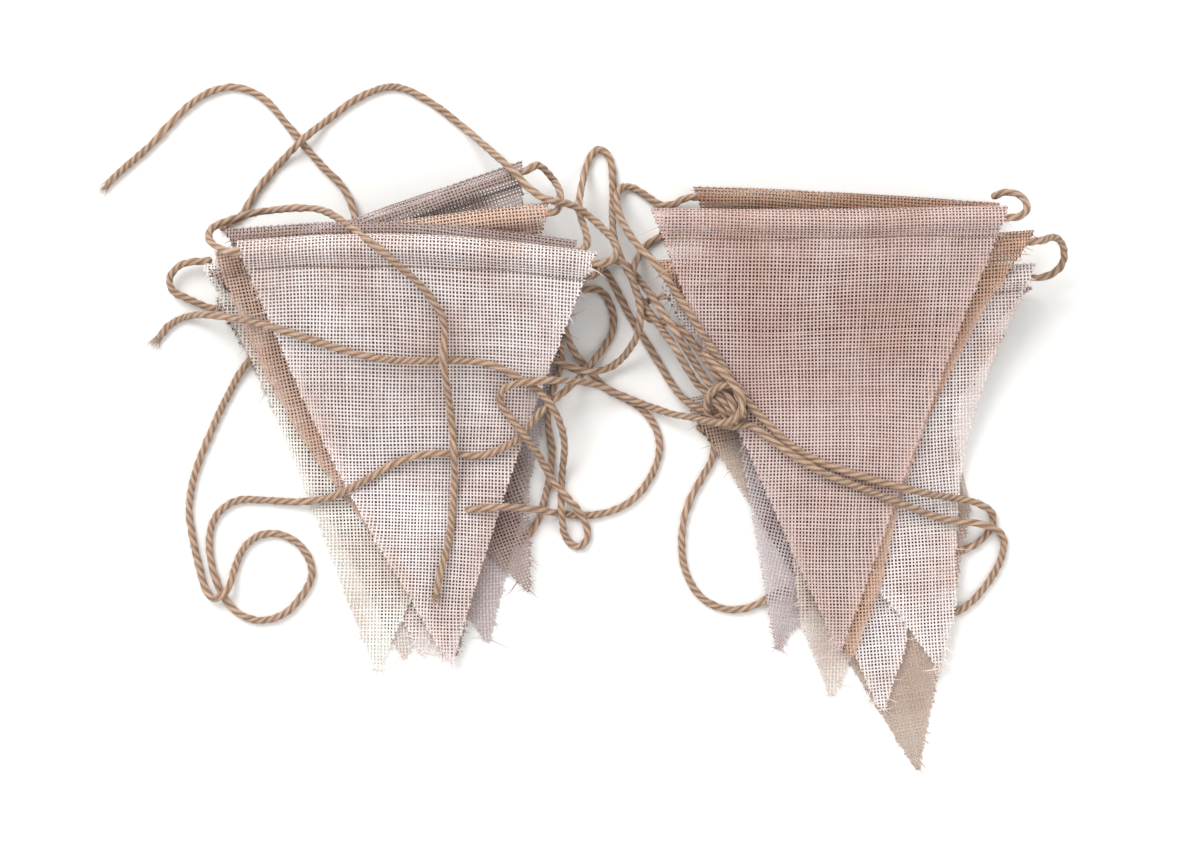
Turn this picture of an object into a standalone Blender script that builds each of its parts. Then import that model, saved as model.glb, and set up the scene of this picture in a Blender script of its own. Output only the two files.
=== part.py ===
"""Fabric bunting: woven triangular pennants on one jute twine, lying folded in two stacks.

The tables are in millimetres on the surface the bunting lies on (X right, Y up the picture,
Z up). Every pennant is one sheet whose top edge is folded over the twine into a casing. The
pieces are laid one after another: each one rests on the highest thing beneath it.
"""

import math
from collections import namedtuple

import bpy
import numpy as np

MM = 0.001
CLOTH = 1.0  # one layer of the woven cloth
TWINE = 3.2  # diameter of the twine
GAP = 0.35  # left between pieces that touch
TABLE_GAP = 0.02  # twine above the surface
TIP_WIDTH = 6.0  # the blunt end of a pennant
COLUMNS = 7  # cells across a pennant
ROWS = 6  # cells from the casing to the tip
STEP = 8.6  # between two points of the twine
MOUTH = 2.6  # twine out of a casing before it bends
EDGE = 1.2  # draped cloth keeps this far out past an edge before it falls
CLOTH_SLOPE = 0.5  # steepest fall of draped cloth
CASING_TILT = 0.2  # of that slope, the most a casing tilts
TWINE_SLOPE = 0.9  # steepest fall of laid twine
PIXEL = 0.6  # grid of the heights
GRID_LOW = np.array((-240.0, -170.0))
GRID_SHAPE = (755, 575)

Pennant = namedtuple("Pennant", "name cloth left right tip")

# Ends of the top edge and the tip, each stack from the bottom up.
PENNANTS = (
    Pennant("left_1", "lilac", left=(-168.4, 70.4), right=(-19.5, 77.4), tip=(-89.8, -80.5)),
    Pennant("left_2", "white", left=(-162.8, 90.4), right=(-15.3, 87.9), tip=(-82.3, -78.8)),
    Pennant("left_3", "lilac", left=(-161.1, 79.3), right=(-15.2, 82.6), tip=(-55.2, -72.9)),
    Pennant("left_4", "cream", left=(-170.7, 83.2), right=(-23.4, 83.2), tip=(-100.9, -85.3)),
    Pennant("left_5", "mauve", left=(-167.8, 79.6), right=(-40.4, 125.2), tip=(-38.1, -52.0)),
    Pennant("left_6", "brown", left=(-164.0, 87.3), right=(-28.9, 107.5), tip=(-73.3, -77.6)),
    Pennant("left_7", "mauve", left=(-158.8, 95.8), right=(-17.5, 91.7), tip=(-68.3, -78.8)),
    Pennant("left_8", "white", left=(-153.2, 90.5), right=(-9.5, 86.5), tip=(-70.3, -81.5)),
    Pennant("right_1", "brown", left=(26.6, 27.7), right=(159.9, 55.1), tip=(123.7, -125.9)),
    Pennant("right_2", "lilac", left=(32.8, 103.5), right=(171.2, 74.5), tip=(65.8, -76.3)),
    Pennant("right_3", "cream", left=(19.8, 72.2), right=(165.3, 72.2), tip=(88.1, -95.7)),
    Pennant("right_4", "brown", left=(30.5, 115.9), right=(158.4, 109.3), tip=(95.5, -74.8)),
    Pennant("right_5", "white", left=(28.7, 67.8), right=(167.7, 81.0), tip=(109.1, -101.7)),
    Pennant("right_6", "white", left=(17.1, 74.2), right=(169.4, 83.2), tip=(133.0, -84.6)),
    Pennant("right_7", "brown", left=(12.1, 83.7), right=(167.4, 95.9), tip=(96.0, -78.7)),
    Pennant("right_8", "mauve", left=(12.0, 104.1), right=(155.3, 104.9), tip=(90.9, -75.7)),
)

# Section of the casing, from the seam round: outer and inner corner as distance from the
# fold and height. The sheet goes on between the first two corners.
Corner = namedtuple("Corner", "out_t out_z in_t in_z")
CASING = (
    Corner(12.0, 0.0, 9.0, 1.0),
    Corner(12.0, CLOTH, 9.4, 1.6),
    Corner(8.5, 5.5, 7.8, 4.5),
    Corner(5.0, 6.4, 5.0, 5.4),
    Corner(1.8, 5.3, 2.5, 4.4),
    Corner(0.0, 2.4, 1.1, 2.4),
    Corner(1.6, 0.0, 2.4, 1.0),
)
CASING_DEPTH = 12.0
TUNNEL = (5.3, 3.1)  # the twine's centre in the casing

# Points each stretch of twine goes through.
ROUTES = {
    "far_tail": (
        (-214.2, 115.7), (-205.9, 123.6), (-195.9, 132.3), (-185.1, 143.9), (-174.4, 153.1),
        (-161.1, 157.2), (-148.6, 152.7), (-139.5, 142.7), (-132.4, 134), (-123.7, 124),
        (-115.8, 116.1), (-111.6, 108.2), (-109.2, 99.9), (-108.7, 90.8), (-112.1, 81.7),
    ),
    "side_strand": (
        (-36.1, 58), (-31.9, 58), (-28.2, 55.1), (-25.3, 50.9), (-24, 45.9), (-24.9, 40.1),
        (-26.5, 34.3), (-29.4, 26.8), (-29.8, 16.5), (-28.2, 6.1), (-29, -4.3), (-31.1, -13.4),
        (-34, -23), (-37.3, -28.8), (-42.3, -32.5),
    ),
    "side_turn": (
        (-21.5, 40.5), (-26.5, 43), (-31.9, 45.1), (-36.5, 48.8), (-38.6, 53.8), (-36.1, 58),
    ),
    "curl_start": (
        (-13.2, 79.2), (-9.1, 76.3), (-6.6, 71.3),
    ),
    "low_start": (
        (-11.6, 82.9), (-7, 81.2), (-2.9, 75.8),
    ),
    "mid_start": (
        (-11.6, 85.8), (-7, 86.6), (-2, 85.4),
    ),
    "ring_tuck": (
        (-4.9, 31), (-10.7, 36.8), (-15.7, 42.2), (-19.9, 48.4), (-22.4, 55.9), (-22.4, 63.4),
        (-19, 70), (-18.2, 75),
    ),
    "curl_tuck": (
        (-161.1, 32.7), (-157.7, 38.5), (-154.4, 43), (-149.4, 47.6), (-143.2, 50.9),
        (-136.1, 50.9),
    ),
    "tall_start": (
        (-13.2, 92), (-14.9, 97.4),
    ),
    "tall_loop": (
        (-14.9, 97.4), (-17, 105.7), (-14.9, 117.4), (-11.6, 127.7), (-8.2, 131.9), (-4.9, 125.3),
        (-3.3, 114), (-3.3, 103.7), (-2.4, 92.4), (1.3, 82.5), (6.3, 72.5), (8.4, 62.1),
        (6.7, 52.6), (0.9, 43.9), (-5.8, 39.7), (-11.6, 38.5), (-16.6, 38.9), (-21.5, 40.5),
    ),
    "top_arc": (
        (-167.3, 96.6), (-162.7, 100.8), (-157.7, 103.2), (-151.5, 113.2), (-142.8, 124),
        (-132.4, 134), (-120.4, 144.4), (-107.1, 153.5), (-93.4, 157.2), (-79.7, 151.4),
        (-66.4, 141.4), (-53.9, 129.4), (-47.3, 123.2), (-41.5, 117.4), (-36.5, 112),
        (-29.8, 107.4), (-23.2, 106.6), (-17.4, 104.9), (-11.6, 100.8), (-6.6, 94.9), (-4.1, 89.1),
        (-5.8, 84.1),
    ),
    "front_tail": (
        (-162.7, 88.3), (-166.5, 92), (-164.4, 97), (-157.7, 99.9), (-146.9, 104.1),
        (-132.8, 104.9), (-119.5, 102.8), (-107.1, 94.9), (-91.3, 82.5), (-78, 70), (-71, 58),
        (-71.4, 43.4), (-69.7, 26.8), (-68, 6.1), (-68.5, -14.7), (-70.5, -31.3), (-74.3, -45.8),
        (-75.9, -55),
    ),
    "link_low": (
        (-2.9, 75.8), (0.5, 68.8), (5.9, 58.8), (12.5, 48.4), (20, 36), (25.8, 27.7),
    ),
    "link_mid": (
        (-2, 85.4), (2.5, 82.5), (7.5, 76.7), (13.3, 68.4), (18.3, 60.9), (28.3, 45.5),
        (35.8, 34.3),
    ),
    "lead_start": (
        (26.6, 110.3), (21.6, 107.8), (15.8, 108.2), (10.4, 112.4),
    ),
    "link_top": (
        (10.4, 112.4), (3.4, 116.1), (-1.2, 113.6), (-1.2, 106.6), (1.3, 99.1), (5.9, 90.8),
        (13.3, 82.5), (21.6, 71.7), (31.2, 56.7), (40.3, 43.4), (45.3, 35.1),
    ),
    "link_fill": (
        (12.5, 68.8), (11.7, 65), (15.4, 61.7), (21.6, 58.8), (27.5, 53.4), (34.1, 44.3),
        (39.9, 36), (42.4, 31.8),
    ),
    "back_start": (
        (27.5, 97), (20.8, 95.8), (14.6, 93.7), (10, 90.4), (7.9, 86.6),
    ),
    "link_back": (
        (7.9, 86.6), (5.5, 81.7), (5, 75.8), (7.5, 69.2), (11.7, 63), (17.5, 54.7), (25.4, 43),
        (31.2, 33.9),
    ),
    "curl": (
        (-6.6, 71.3), (-3.7, 66.3), (-2.4, 60.1), (-3.7, 53.4), (-7.4, 47.6), (-14.5, 38.9),
        (-20.7, 32.2), (-26.5, 27.3), (-33.2, 21), (-38.1, 14.8), (-43.1, 9.8), (-49.8, 6.1),
        (-58.9, 3.6), (-70.5, 4.8), (-83, 4), (-93.4, 0.3), (-105.8, -6.8), (-118.3, -13),
        (-132.8, -15.5), (-148.6, -14.7), (-158.6, -14.7), (-166.9, -19.7), (-170.6, -28.4),
        (-170.2, -39.6), (-166.5, -52.1), (-159.8, -61.2), (-150.3, -64.9), (-139.9, -62.4),
        (-131.6, -53.7),
    ),
    "curl_end": (
        (-131.6, -53.7), (-127.8, -44.6), (-132, -34.6), (-140.3, -29.2), (-149.4, -29.2),
        (-156.5, -34.6), (-160.2, -42.9), (-162.7, -52.1), (-168.5, -56.2), (-173.1, -50),
        (-175.6, -40.4), (-177.7, -30.5), (-179.3, -18), (-177.3, -5.6), (-172.7, 7.7),
        (-166, 22.7), (-161.1, 32.7),
    ),
    "zigzag": (
        (-193, 50.9), (-188.9, 56.7), (-182.7, 60.9), (-173.5, 62.1), (-159.8, 60.5),
        (-148.6, 58.4), (-132.8, 53.4), (-116.2, 48), (-101.7, 43.9), (-87.1, 42.2), (-70.5, 42.6),
        (-56, 41.8), (-46.5, 38.5), (-39, 34.3), (-32.3, 29.3), (-26.5, 21.9), (-22.8, 9.8),
        (-23.6, -0.6), (-24.4, -12.2), (-23.6, -20.9), (-21.1, -29.6), (-17.4, -34.6),
        (-14.5, -30.9),
    ),
    "zigzag_back": (
        (-14.5, -30.9), (-16.1, -23.8), (-19.5, -17.6), (-27.4, -7.2), (-34.4, 5.7), (-40.2, 13.6),
        (-47.7, 23.1), (-49.4, 29.3),
    ),
    "zigzag_end": (
        (-49.4, 29.3), (-44.4, 32.7), (-37.7, 33.9), (-26.5, 34.7), (-15.7, 34.3), (-7.4, 32.2),
        (7.5, 26), (21.6, 21), (30.8, 19.4),
    ),
    "big_ring": (
        (-65.1, -18.8), (-56, -17.6), (-43.5, -17.2), (-31.1, -19.3), (-16.6, -21.3), (-4.1, -19.7),
        (6.3, -13.9), (13.3, -4.3), (16.7, 6.1), (15, 15.2), (8.8, 23.5), (0.9, 28.1), (-4.9, 31),
    ),
    "tie_upper": (
        (52.4, 25.2), (59, 18.5), (67.3, 10.2), (76.9, 3.6), (91.4, -2.2), (108, -7.2),
        (124.6, -11.4), (136.3, -13.4), (147.1, -15.5), (155.4, -20.5),
    ),
    "tie_upper_back": (
        (155.4, -20.5), (153.7, -28), (147.1, -33.8), (137.1, -37.9), (128.8, -40.4),
    ),
    "tie_lower": (
        (52.4, 16.9), (59, 12.7), (68.6, 5.2), (83.1, -3.1), (99.7, -9.7), (116.3, -16.3),
        (130.4, -21.3), (141.2, -23.8), (151.2, -24.7), (159.5, -29.6),
    ),
    "tie_lower_back": (
        (159.5, -29.6), (158.7, -38.8), (152.9, -49.6), (144.6, -58.7), (136.7, -62.9),
        (130.4, -65.3), (123.8, -66.2),
    ),
    "knot": (
        (52.4, 25.2), (50.3, 31.4), (44.5, 34.7), (37.4, 33.1), (32.9, 27.3), (33.7, 20.6),
        (38.7, 15.6), (45.7, 14), (52.4, 16.9),
    ),
    "hanging_loop": (
        (30.8, 16.9), (35.8, 13.6), (39.5, 8.6), (37.8, 0.7), (32.4, -8.5), (27.9, -18),
        (25.8, -29.2), (26.2, -40.4), (30, -50.4), (36.6, -57.5), (45.7, -60.4), (54, -59.5),
        (60.7, -56.2), (66.5, -52.9), (71.5, -51.2),
    ),
    "turn_corner": (
        (-34.8, 124), (-29.4, 119.9), (-24.9, 113.2), (-24.4, 107.8),
    ),
    "turn_r23": (
        (174.5, 70), (178.6, 65.9), (175.3, 60.9), (170.3, 63.4),
    ),
    "turn_r15": (
        (175.3, 75), (179.9, 69.2), (177.8, 60.9), (172, 54.2), (167, 50.5),
    ),
    "turn_r48": (
        (164.5, 105.7), (169.5, 104.1), (168.6, 99.1), (163.7, 99.1),
    ),
    "turn_r67": (
        (177, 93.3), (181.5, 88.3), (181.5, 81.7), (177.4, 78.3),
    ),
    "base_end": (
        (23.3, 22.3), (20, 17.7), (23.3, 13.1), (29.1, 11.9),
    ),
}

# Each twine: its stretches in order. A pennant's name is the run through its casing, with
# a minus sign when it goes from the right end to the left one.
TWINES = {
    "twine_far": ("far_tail",),
    "twine_curl": ("left_1", "curl_start", "curl", "curl_end", "curl_tuck"),
    "twine_link_low": ("left_2", "low_start", "link_low"),
    "twine_link_mid": ("left_3", "mid_start", "link_mid"),
    "twine_ring": ("big_ring", "ring_tuck", "-left_4"),
    "twine_corner": ("left_5", "turn_corner", "-left_6"),
    "twine_tall": ("left_7", "tall_start", "tall_loop", "side_turn", "side_strand"),
    "twine_arc": ("top_arc", "-left_8", "front_tail"),
    "twine_zigzag": ("zigzag", "zigzag_back", "zigzag_end"),
    "twine_tie": ("-tie_upper_back", "-tie_upper", "knot", "tie_lower", "tie_lower_back"),
    "twine_hanging": ("hanging_loop",),
    "twine_base": ("-base_end", "right_1"),
    "twine_back": ("-right_2", "back_start", "link_back"),
    "twine_lead": ("-right_4", "lead_start", "link_top"),
    "twine_fill": ("-right_6", "link_fill"),
    "twine_side_low": ("right_3", "turn_r23"),
    "twine_side_mid": ("right_5", "turn_r15"),
    "twine_side_top": ("right_7", "turn_r67"),
    "twine_top": ("right_8", "turn_r48"),
}

# The order in which everything is laid.
ORDER = (
    "hanging_loop", "tie_upper_back", "tie_lower_back",
    "left_1", "curl_start", "left_2", "low_start", "left_3", "mid_start", "curl_tuck",
    "left_4", "ring_tuck", "side_strand", "side_turn", "far_tail",
    "left_5", "left_6", "turn_corner", "left_7", "tall_start", "left_8",
    "right_1", "right_2", "back_start", "right_3", "turn_r23", "right_4", "lead_start",
    "right_5", "turn_r15", "right_6", "right_7", "turn_r67", "right_8", "turn_r48",
    "base_end", "link_fill", "curl", "curl_end", "link_low", "link_mid", "link_back",
    "tall_loop", "top_arc", "link_top", "big_ring", "zigzag", "zigzag_back", "zigzag_end",
    "front_tail", "tie_upper", "tie_lower", "knot",
)


def unit(vector):
    return vector / np.linalg.norm(vector)


class Cloth:
    """One pennant's mesh. Each vertex is a plan position, a base height and two lift nodes."""

    def __init__(self, pennant):
        left, right, tip = (np.array(p) for p in (pennant.left, pennant.right, pennant.tip))
        self.name = pennant.name
        self.along = unit(right - left)
        self.left = left
        self.right = right
        self.tip_left = tip - self.along * TIP_WIDTH / 2
        self.tip_right = tip + self.along * TIP_WIDTH / 2
        self.length = float(np.linalg.norm(tip - (left + right) / 2))
        self.rows = [0.0, CASING_DEPTH]
        for k in range(1, ROWS + 1):
            self.rows.append(CASING_DEPTH + (self.length - CASING_DEPTH) * k / ROWS)
        self.plan = []
        self.base = []
        self.weights = []
        self.triangles = []
        self.under = []
        self.lift = np.zeros((COLUMNS + 1) * len(self.rows))
        self.make()

    def place(self, column, t):
        """Plan position at a column and a distance t from the fold."""
        share = t / self.length
        start = self.left + (self.tip_left - self.left) * share
        end = self.right + (self.tip_right - self.right) * share
        return start + (end - start) * column / COLUMNS

    def weight(self, column, t):
        """Shares of the lift nodes at a column and a distance t."""
        row = np.zeros(len(self.lift))
        k = min(np.searchsorted(self.rows, t, side="right") - 1, len(self.rows) - 2)
        part = (t - self.rows[k]) / (self.rows[k + 1] - self.rows[k])
        row[column * len(self.rows) + k] = 1 - part
        row[column * len(self.rows) + k + 1] = part
        return row

    def add(self, column, t, z):
        self.plan.append(self.place(column, t))
        self.base.append(z)
        self.weights.append(self.weight(column, t))
        return len(self.plan) - 1

    def quad(self, a, b, c, d, under=False):
        for triangle in ((a, b, c), (a, c, d)):
            self.triangles.append(triangle)
            if under:
                self.under.append(triangle)

    def make(self):
        outer, inner, low, high = [], [], [], []
        for column in range(COLUMNS + 1):
            outer.append([self.add(column, c.out_t, c.out_z) for c in CASING])
            inner.append([self.add(column, c.in_t, c.in_z) for c in CASING])
            low.append([outer[-1][0]] + [self.add(column, t, 0.0) for t in self.rows[2:]])
            high.append([outer[-1][1]] + [self.add(column, t, CLOTH) for t in self.rows[2:]])
        corners = len(CASING)
        for i in range(COLUMNS):
            j = i + 1
            for k in range(corners):
                n = (k + 1) % corners
                if k > 0:
                    self.quad(outer[i][k], outer[j][k], outer[j][n], outer[i][n], k >= 5)
                self.quad(inner[i][k], inner[i][n], inner[j][n], inner[j][k])
            for k in range(ROWS):
                self.quad(low[i][k], low[j][k], low[j][k + 1], low[i][k + 1], True)
                self.quad(high[i][k + 1], high[j][k + 1], high[j][k], high[i][k])
            self.quad(low[i][-1], low[j][-1], high[j][-1], high[i][-1])
        for i, turn in ((0, 1), (COLUMNS, -1)):
            for k in range(corners):
                n = (k + 1) % corners
                self.quad(*(outer[i][n], inner[i][n], inner[i][k], outer[i][k])[::turn])
            for k in range(ROWS):
                self.quad(*(low[i][k], low[i][k + 1], high[i][k + 1], high[i][k])[::turn])
        self.plan = np.array(self.plan)
        self.base = np.array(self.base)
        self.weights = np.array(self.weights)

    def points(self):
        return np.column_stack((self.plan, self.base + self.weights @ self.lift))

    def samples(self):
        """Fine points all over the underside, as plan, base height and weights."""
        plan, base, weights = [], [], []
        for triangle in self.under:
            corners = self.plan[list(triangle)]
            size = max(np.linalg.norm(corners[k] - corners[k - 1]) for k in range(3))
            n = max(1, math.ceil(size / 1.6))
            i, j = np.meshgrid(np.arange(n + 1), np.arange(n + 1))
            keep = i + j <= n
            share = np.column_stack((i[keep], j[keep], n - i[keep] - j[keep])) / n
            plan.append(share @ corners)
            base.append(share @ self.base[list(triangle)])
            weights.append(share @ self.weights[list(triangle)])
        return np.vstack(plan), np.hstack(base), np.vstack(weights)

    def neighbours(self):
        """Pairs of lift nodes side by side and the distance between them."""
        found = []
        rows = len(self.rows)
        for column in range(COLUMNS + 1):
            for k in range(rows):
                here = self.place(column, self.rows[k])
                for c, r in ((column + 1, k), (column, k + 1), (column + 1, k + 1)):
                    if c <= COLUMNS and r < rows:
                        far = max(np.linalg.norm(self.place(c, self.rows[r]) - here), 2.0)
                        if k == 0 and r == 1:
                            far *= CASING_TILT
                        found.append((column * rows + k, c * rows + r, far))
        return found

    def settle(self, heights):
        plan, base, weights = self.samples()
        beneath = look(widened(heights, disc(EDGE)), plan)
        need = np.where(beneath > 0, beneath + GAP, 0.0) - base
        self.lift = raised(weights, need, self.lift, self.neighbours(), CLOTH_SLOPE)

    def run(self):
        """The twine through the casing, from the left end to the right one."""
        path = []
        for column in range(COLUMNS + 1):
            z = TUNNEL[1] + self.weight(column, TUNNEL[0]) @ self.lift
            path.append((*self.place(column, TUNNEL[0]), z))
        path = np.array(path)
        first, last = path[0].copy(), path[-1].copy()
        first[:2] -= self.along * MOUTH
        last[:2] += self.along * MOUTH
        return np.vstack((first, path, last))


def raised(weights, need, lift, pairs, slope, fixed=()):
    """The lowest lifts, near enough, that bring weights @ lift up to the need.

    Too low lifts are raised first; each is then let down, a part at a time, until a sample
    or the steepest allowed fall to a neighbour holds it.
    """
    free = weights.copy()
    free[:, list(fixed)] = 0
    square = (free**2).sum(axis=1)
    square[square < 0.16] = 1e9
    for _ in range(90):
        short = need - weights @ lift
        short[(short < 0.005) | (square > 1e8)] = 0
        lift = lift + ((short / square)[:, None] * free).max(axis=0)
        for a, b, far in pairs:
            if a not in fixed:
                lift[a] = max(lift[a], lift[b] - slope * far)
            if b not in fixed:
                lift[b] = max(lift[b], lift[a] - slope * far)
        if short.max() == 0:
            break
    over = [np.nonzero(weights[:, k] > 0.01)[0] for k in range(len(lift))]
    near = [[] for _ in lift]
    for a, b, far in pairs:
        near[a].append((b, far))
        near[b].append((a, far))
    slack = weights @ lift - need
    for turn in range(40):
        share = 0.4 if turn < 30 else 1.0
        for k in range(len(lift)):
            if k in fixed or not len(over[k]):
                continue
            down = (slack[over[k]] / weights[over[k], k]).min()
            for other, far in near[k]:
                down = min(down, lift[k] - lift[other] + slope * far)
            down = share * max(down, 0.0)
            lift[k] -= down
            slack[over[k]] -= down * weights[over[k], k]
    return lift


def disc(radius, ball=False):
    """Steps on the grid within a radius, each with the height a ball has there."""
    reach = int(radius / PIXEL) + 1
    steps = []
    for i in range(-reach, reach + 1):
        for j in range(-reach, reach + 1):
            far = math.hypot(i, j) * PIXEL
            if far <= radius:
                steps.append((i, j, math.sqrt(radius**2 - far**2) if ball else 0.0))
    return steps


def widened(heights, steps):
    """The heights with the highest within reach taken at every point of the grid."""
    wide = np.zeros_like(heights)
    for i, j, more in steps:
        moved = np.roll(heights, (i, j), axis=(0, 1))
        np.maximum(wide, np.where(moved > 0, moved + more, 0), out=wide)
    return wide


def look(heights, plan):
    index = np.rint((plan - GRID_LOW) / PIXEL).astype(int)
    return heights[index[:, 0], index[:, 1]]


def raster(points, triangles):
    """The highest point of a mesh over each point of the grid, 0 where there is none."""
    heights = np.zeros(GRID_SHAPE, np.float32)
    for a, b, c in points[np.array(triangles)]:
        low = np.floor((np.minimum(np.minimum(a, b), c)[:2] - GRID_LOW) / PIXEL).astype(int)
        high = np.ceil((np.maximum(np.maximum(a, b), c)[:2] - GRID_LOW) / PIXEL).astype(int) + 1
        area = (b[0] - a[0]) * (c[1] - a[1]) - (c[0] - a[0]) * (b[1] - a[1])
        if abs(area) < 1e-9:
            continue
        x = np.arange(low[0], high[0])[:, None] * PIXEL + GRID_LOW[0] - a[0]
        y = np.arange(low[1], high[1])[None, :] * PIXEL + GRID_LOW[1] - a[1]
        u = (x * (c[1] - a[1]) - y * (c[0] - a[0])) / area
        v = (y * (b[0] - a[0]) - x * (b[1] - a[1])) / area
        inside = (u >= -0.02) & (v >= -0.02) & (u + v <= 1.02)
        z = np.where(inside, a[2] + u * (b[2] - a[2]) + v * (c[2] - a[2]), 0)
        window = heights[low[0]:high[0], low[1]:high[1]]
        np.maximum(window, z, out=window)
    return heights


def tube_heights(path):
    """The highest point of twine along a path over the grid."""
    heights = np.zeros(GRID_SHAPE, np.float32)
    for start, end in zip(path[:-1], path[1:]):
        n = max(2, math.ceil(np.linalg.norm(end - start) / 0.5))
        for share in np.linspace(0, 1, n + 1):
            x, y, z = start + (end - start) * share
            i = int(round((x - GRID_LOW[0]) / PIXEL))
            j = int(round((y - GRID_LOW[1]) / PIXEL))
            for di in range(-3, 4):
                for dj in range(-3, 4):
                    far = math.hypot((i + di) * PIXEL + GRID_LOW[0] - x,
                                     (j + dj) * PIXEL + GRID_LOW[1] - y)
                    if far < TWINE / 2:
                        top = z + math.sqrt(TWINE**2 / 4 - far**2)
                        heights[i + di, j + dj] = max(heights[i + di, j + dj], top)
    return heights


def smooth(points):
    """A Catmull-Rom curve through the points, cut into equal steps."""
    points = np.array(points, float)
    padded = np.vstack((2 * points[0] - points[1], points, 2 * points[-1] - points[-2]))
    fine = [points[:1]]
    t = np.linspace(0, 1, 13)[1:, None]
    for p0, p1, p2, p3 in zip(padded[:-3], padded[1:-2], padded[2:-1], padded[3:]):
        fine.append(0.5 * (2 * p1 + (p2 - p0) * t + (2 * p0 - 5 * p1 + 4 * p2 - p3) * t**2
                           + (3 * p1 - p0 - 3 * p2 + p3) * t**3))
    fine = np.vstack(fine)
    far = np.concatenate(([0], np.cumsum(np.linalg.norm(np.diff(fine, axis=0), axis=1))))
    count = max(2, math.ceil(far[-1] / STEP))
    marks = np.linspace(0, far[-1], count + 1)
    return np.column_stack([np.interp(marks, far, fine[:, k]) for k in range(2)])


def trimmed(path, at_start, by=9.0):
    """A path without the stretch next to the joint with the one being laid."""
    path = path if at_start else path[::-1]
    far = np.concatenate(([0], np.cumsum(np.linalg.norm(np.diff(path, axis=0), axis=1))))
    keep = path[far >= by]
    return keep if len(keep) > 1 else None


def lay(route, heights, near, start, end):
    """Twine laid along a route, its ends fixed to a start or end point where one is given.

    The casing that the twine comes out of is left out of the heights near that end.
    """
    route = [p for p in route]
    if start is not None:
        route = [start[:2]] + route if math.dist(start[:2], route[0]) > 1 else route
    if end is not None:
        route = route + [end[:2]] if math.dist(end[:2], route[-1]) > 1 else route
    plan = smooth(route)
    count = len(plan)
    parts = 9
    spots, weights = [], []
    for k in range(count - 1):
        for m in range(parts):
            row = np.zeros(count)
            row[k] = 1 - m / parts
            row[k + 1] = m / parts
            weights.append(row)
            spots.append(plan[k] + (plan[k + 1] - plan[k]) * m / parts)
    row = np.zeros(count)
    row[-1] = 1
    weights.append(row)
    spots.append(plan[-1])
    spots, weights = np.array(spots), np.array(weights)
    ball = disc(TWINE / 2 + GAP + 0.25, ball=True)
    beneath = look(widened(heights, ball), spots)
    by_mouth = look(widened(near, ball), spots)
    for spot, fixed in ((plan[0], start), (plan[-1], end)):
        if fixed is not None:
            close = np.linalg.norm(spots - spot, axis=1) < 6.0
            beneath = np.where(close, by_mouth, beneath)
    need = np.where(beneath > 0, beneath, TWINE / 2 + TABLE_GAP)
    lift = np.full(count, TWINE / 2 + TABLE_GAP)
    for fixed, spot, index in ((start, plan[0], 0), (end, plan[-1], count - 1)):
        if fixed is not None:
            need[np.linalg.norm(spots - spot, axis=1) < 1.5] = 0
            lift[index] = fixed[2]
    pairs = []
    for k in range(count - 1):
        pairs.append((k, k + 1, float(np.linalg.norm(plan[k + 1] - plan[k]))))
    fixed = [k for k, found in ((0, start), (count - 1, end)) if found is not None]
    lift = raised(weights, need, lift, pairs, TWINE_SLOPE, fixed)
    if start is not None:
        lift[0] = start[2]
    if end is not None:
        lift[-1] = end[2]
    return np.column_stack((plan, lift))


def mesh_object(name, points, triangles):
    mesh = bpy.data.meshes.new(name)
    mesh.from_pydata([tuple(p * MM) for p in points], [], [tuple(t) for t in triangles])
    mesh.update()
    found = bpy.data.objects.new(name, mesh)
    bpy.context.scene.collection.objects.link(found)
    return found


def twine_object(name, path):
    curve = bpy.data.curves.new(name, "CURVE")
    curve.dimensions = "3D"
    curve.bevel_depth = TWINE / 2 * MM
    curve.bevel_resolution = 2
    curve.use_fill_caps = True
    curve.resolution_u = 1
    curve.render_resolution_u = 0
    spline = curve.splines.new("POLY")
    spline.points.add(len(path) - 1)
    for point, (x, y, z) in zip(spline.points, path):
        point.co = (x * MM, y * MM, z * MM, 1.0)
    found = bpy.data.objects.new(name, curve)
    bpy.context.scene.collection.objects.link(found)
    return found


def joints(stretch):
    """The stretches before and after one on its twine, and whether it is turned round."""
    for parts in TWINES.values():
        names = [p.lstrip("-") for p in parts]
        if stretch in names:
            k = names.index(stretch)
            before = parts[k - 1] if k > 0 else None
            after = parts[k + 1] if k + 1 < len(parts) else None
            return before, after, parts[k].startswith("-")
    raise ValueError(f"{stretch} is on no twine")


def directed(part, paths):
    """A laid stretch in the direction its twine has, or None when it isn't laid yet."""
    path = paths.get(part.lstrip("-"))
    if path is None:
        return None
    return path[::-1] if part.startswith("-") else path


def pile(tops, left_out):
    heights = np.zeros(GRID_SHAPE, np.float32)
    for name, top in tops.items():
        if name not in left_out:
            np.maximum(heights, top, out=heights)
    return heights


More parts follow.
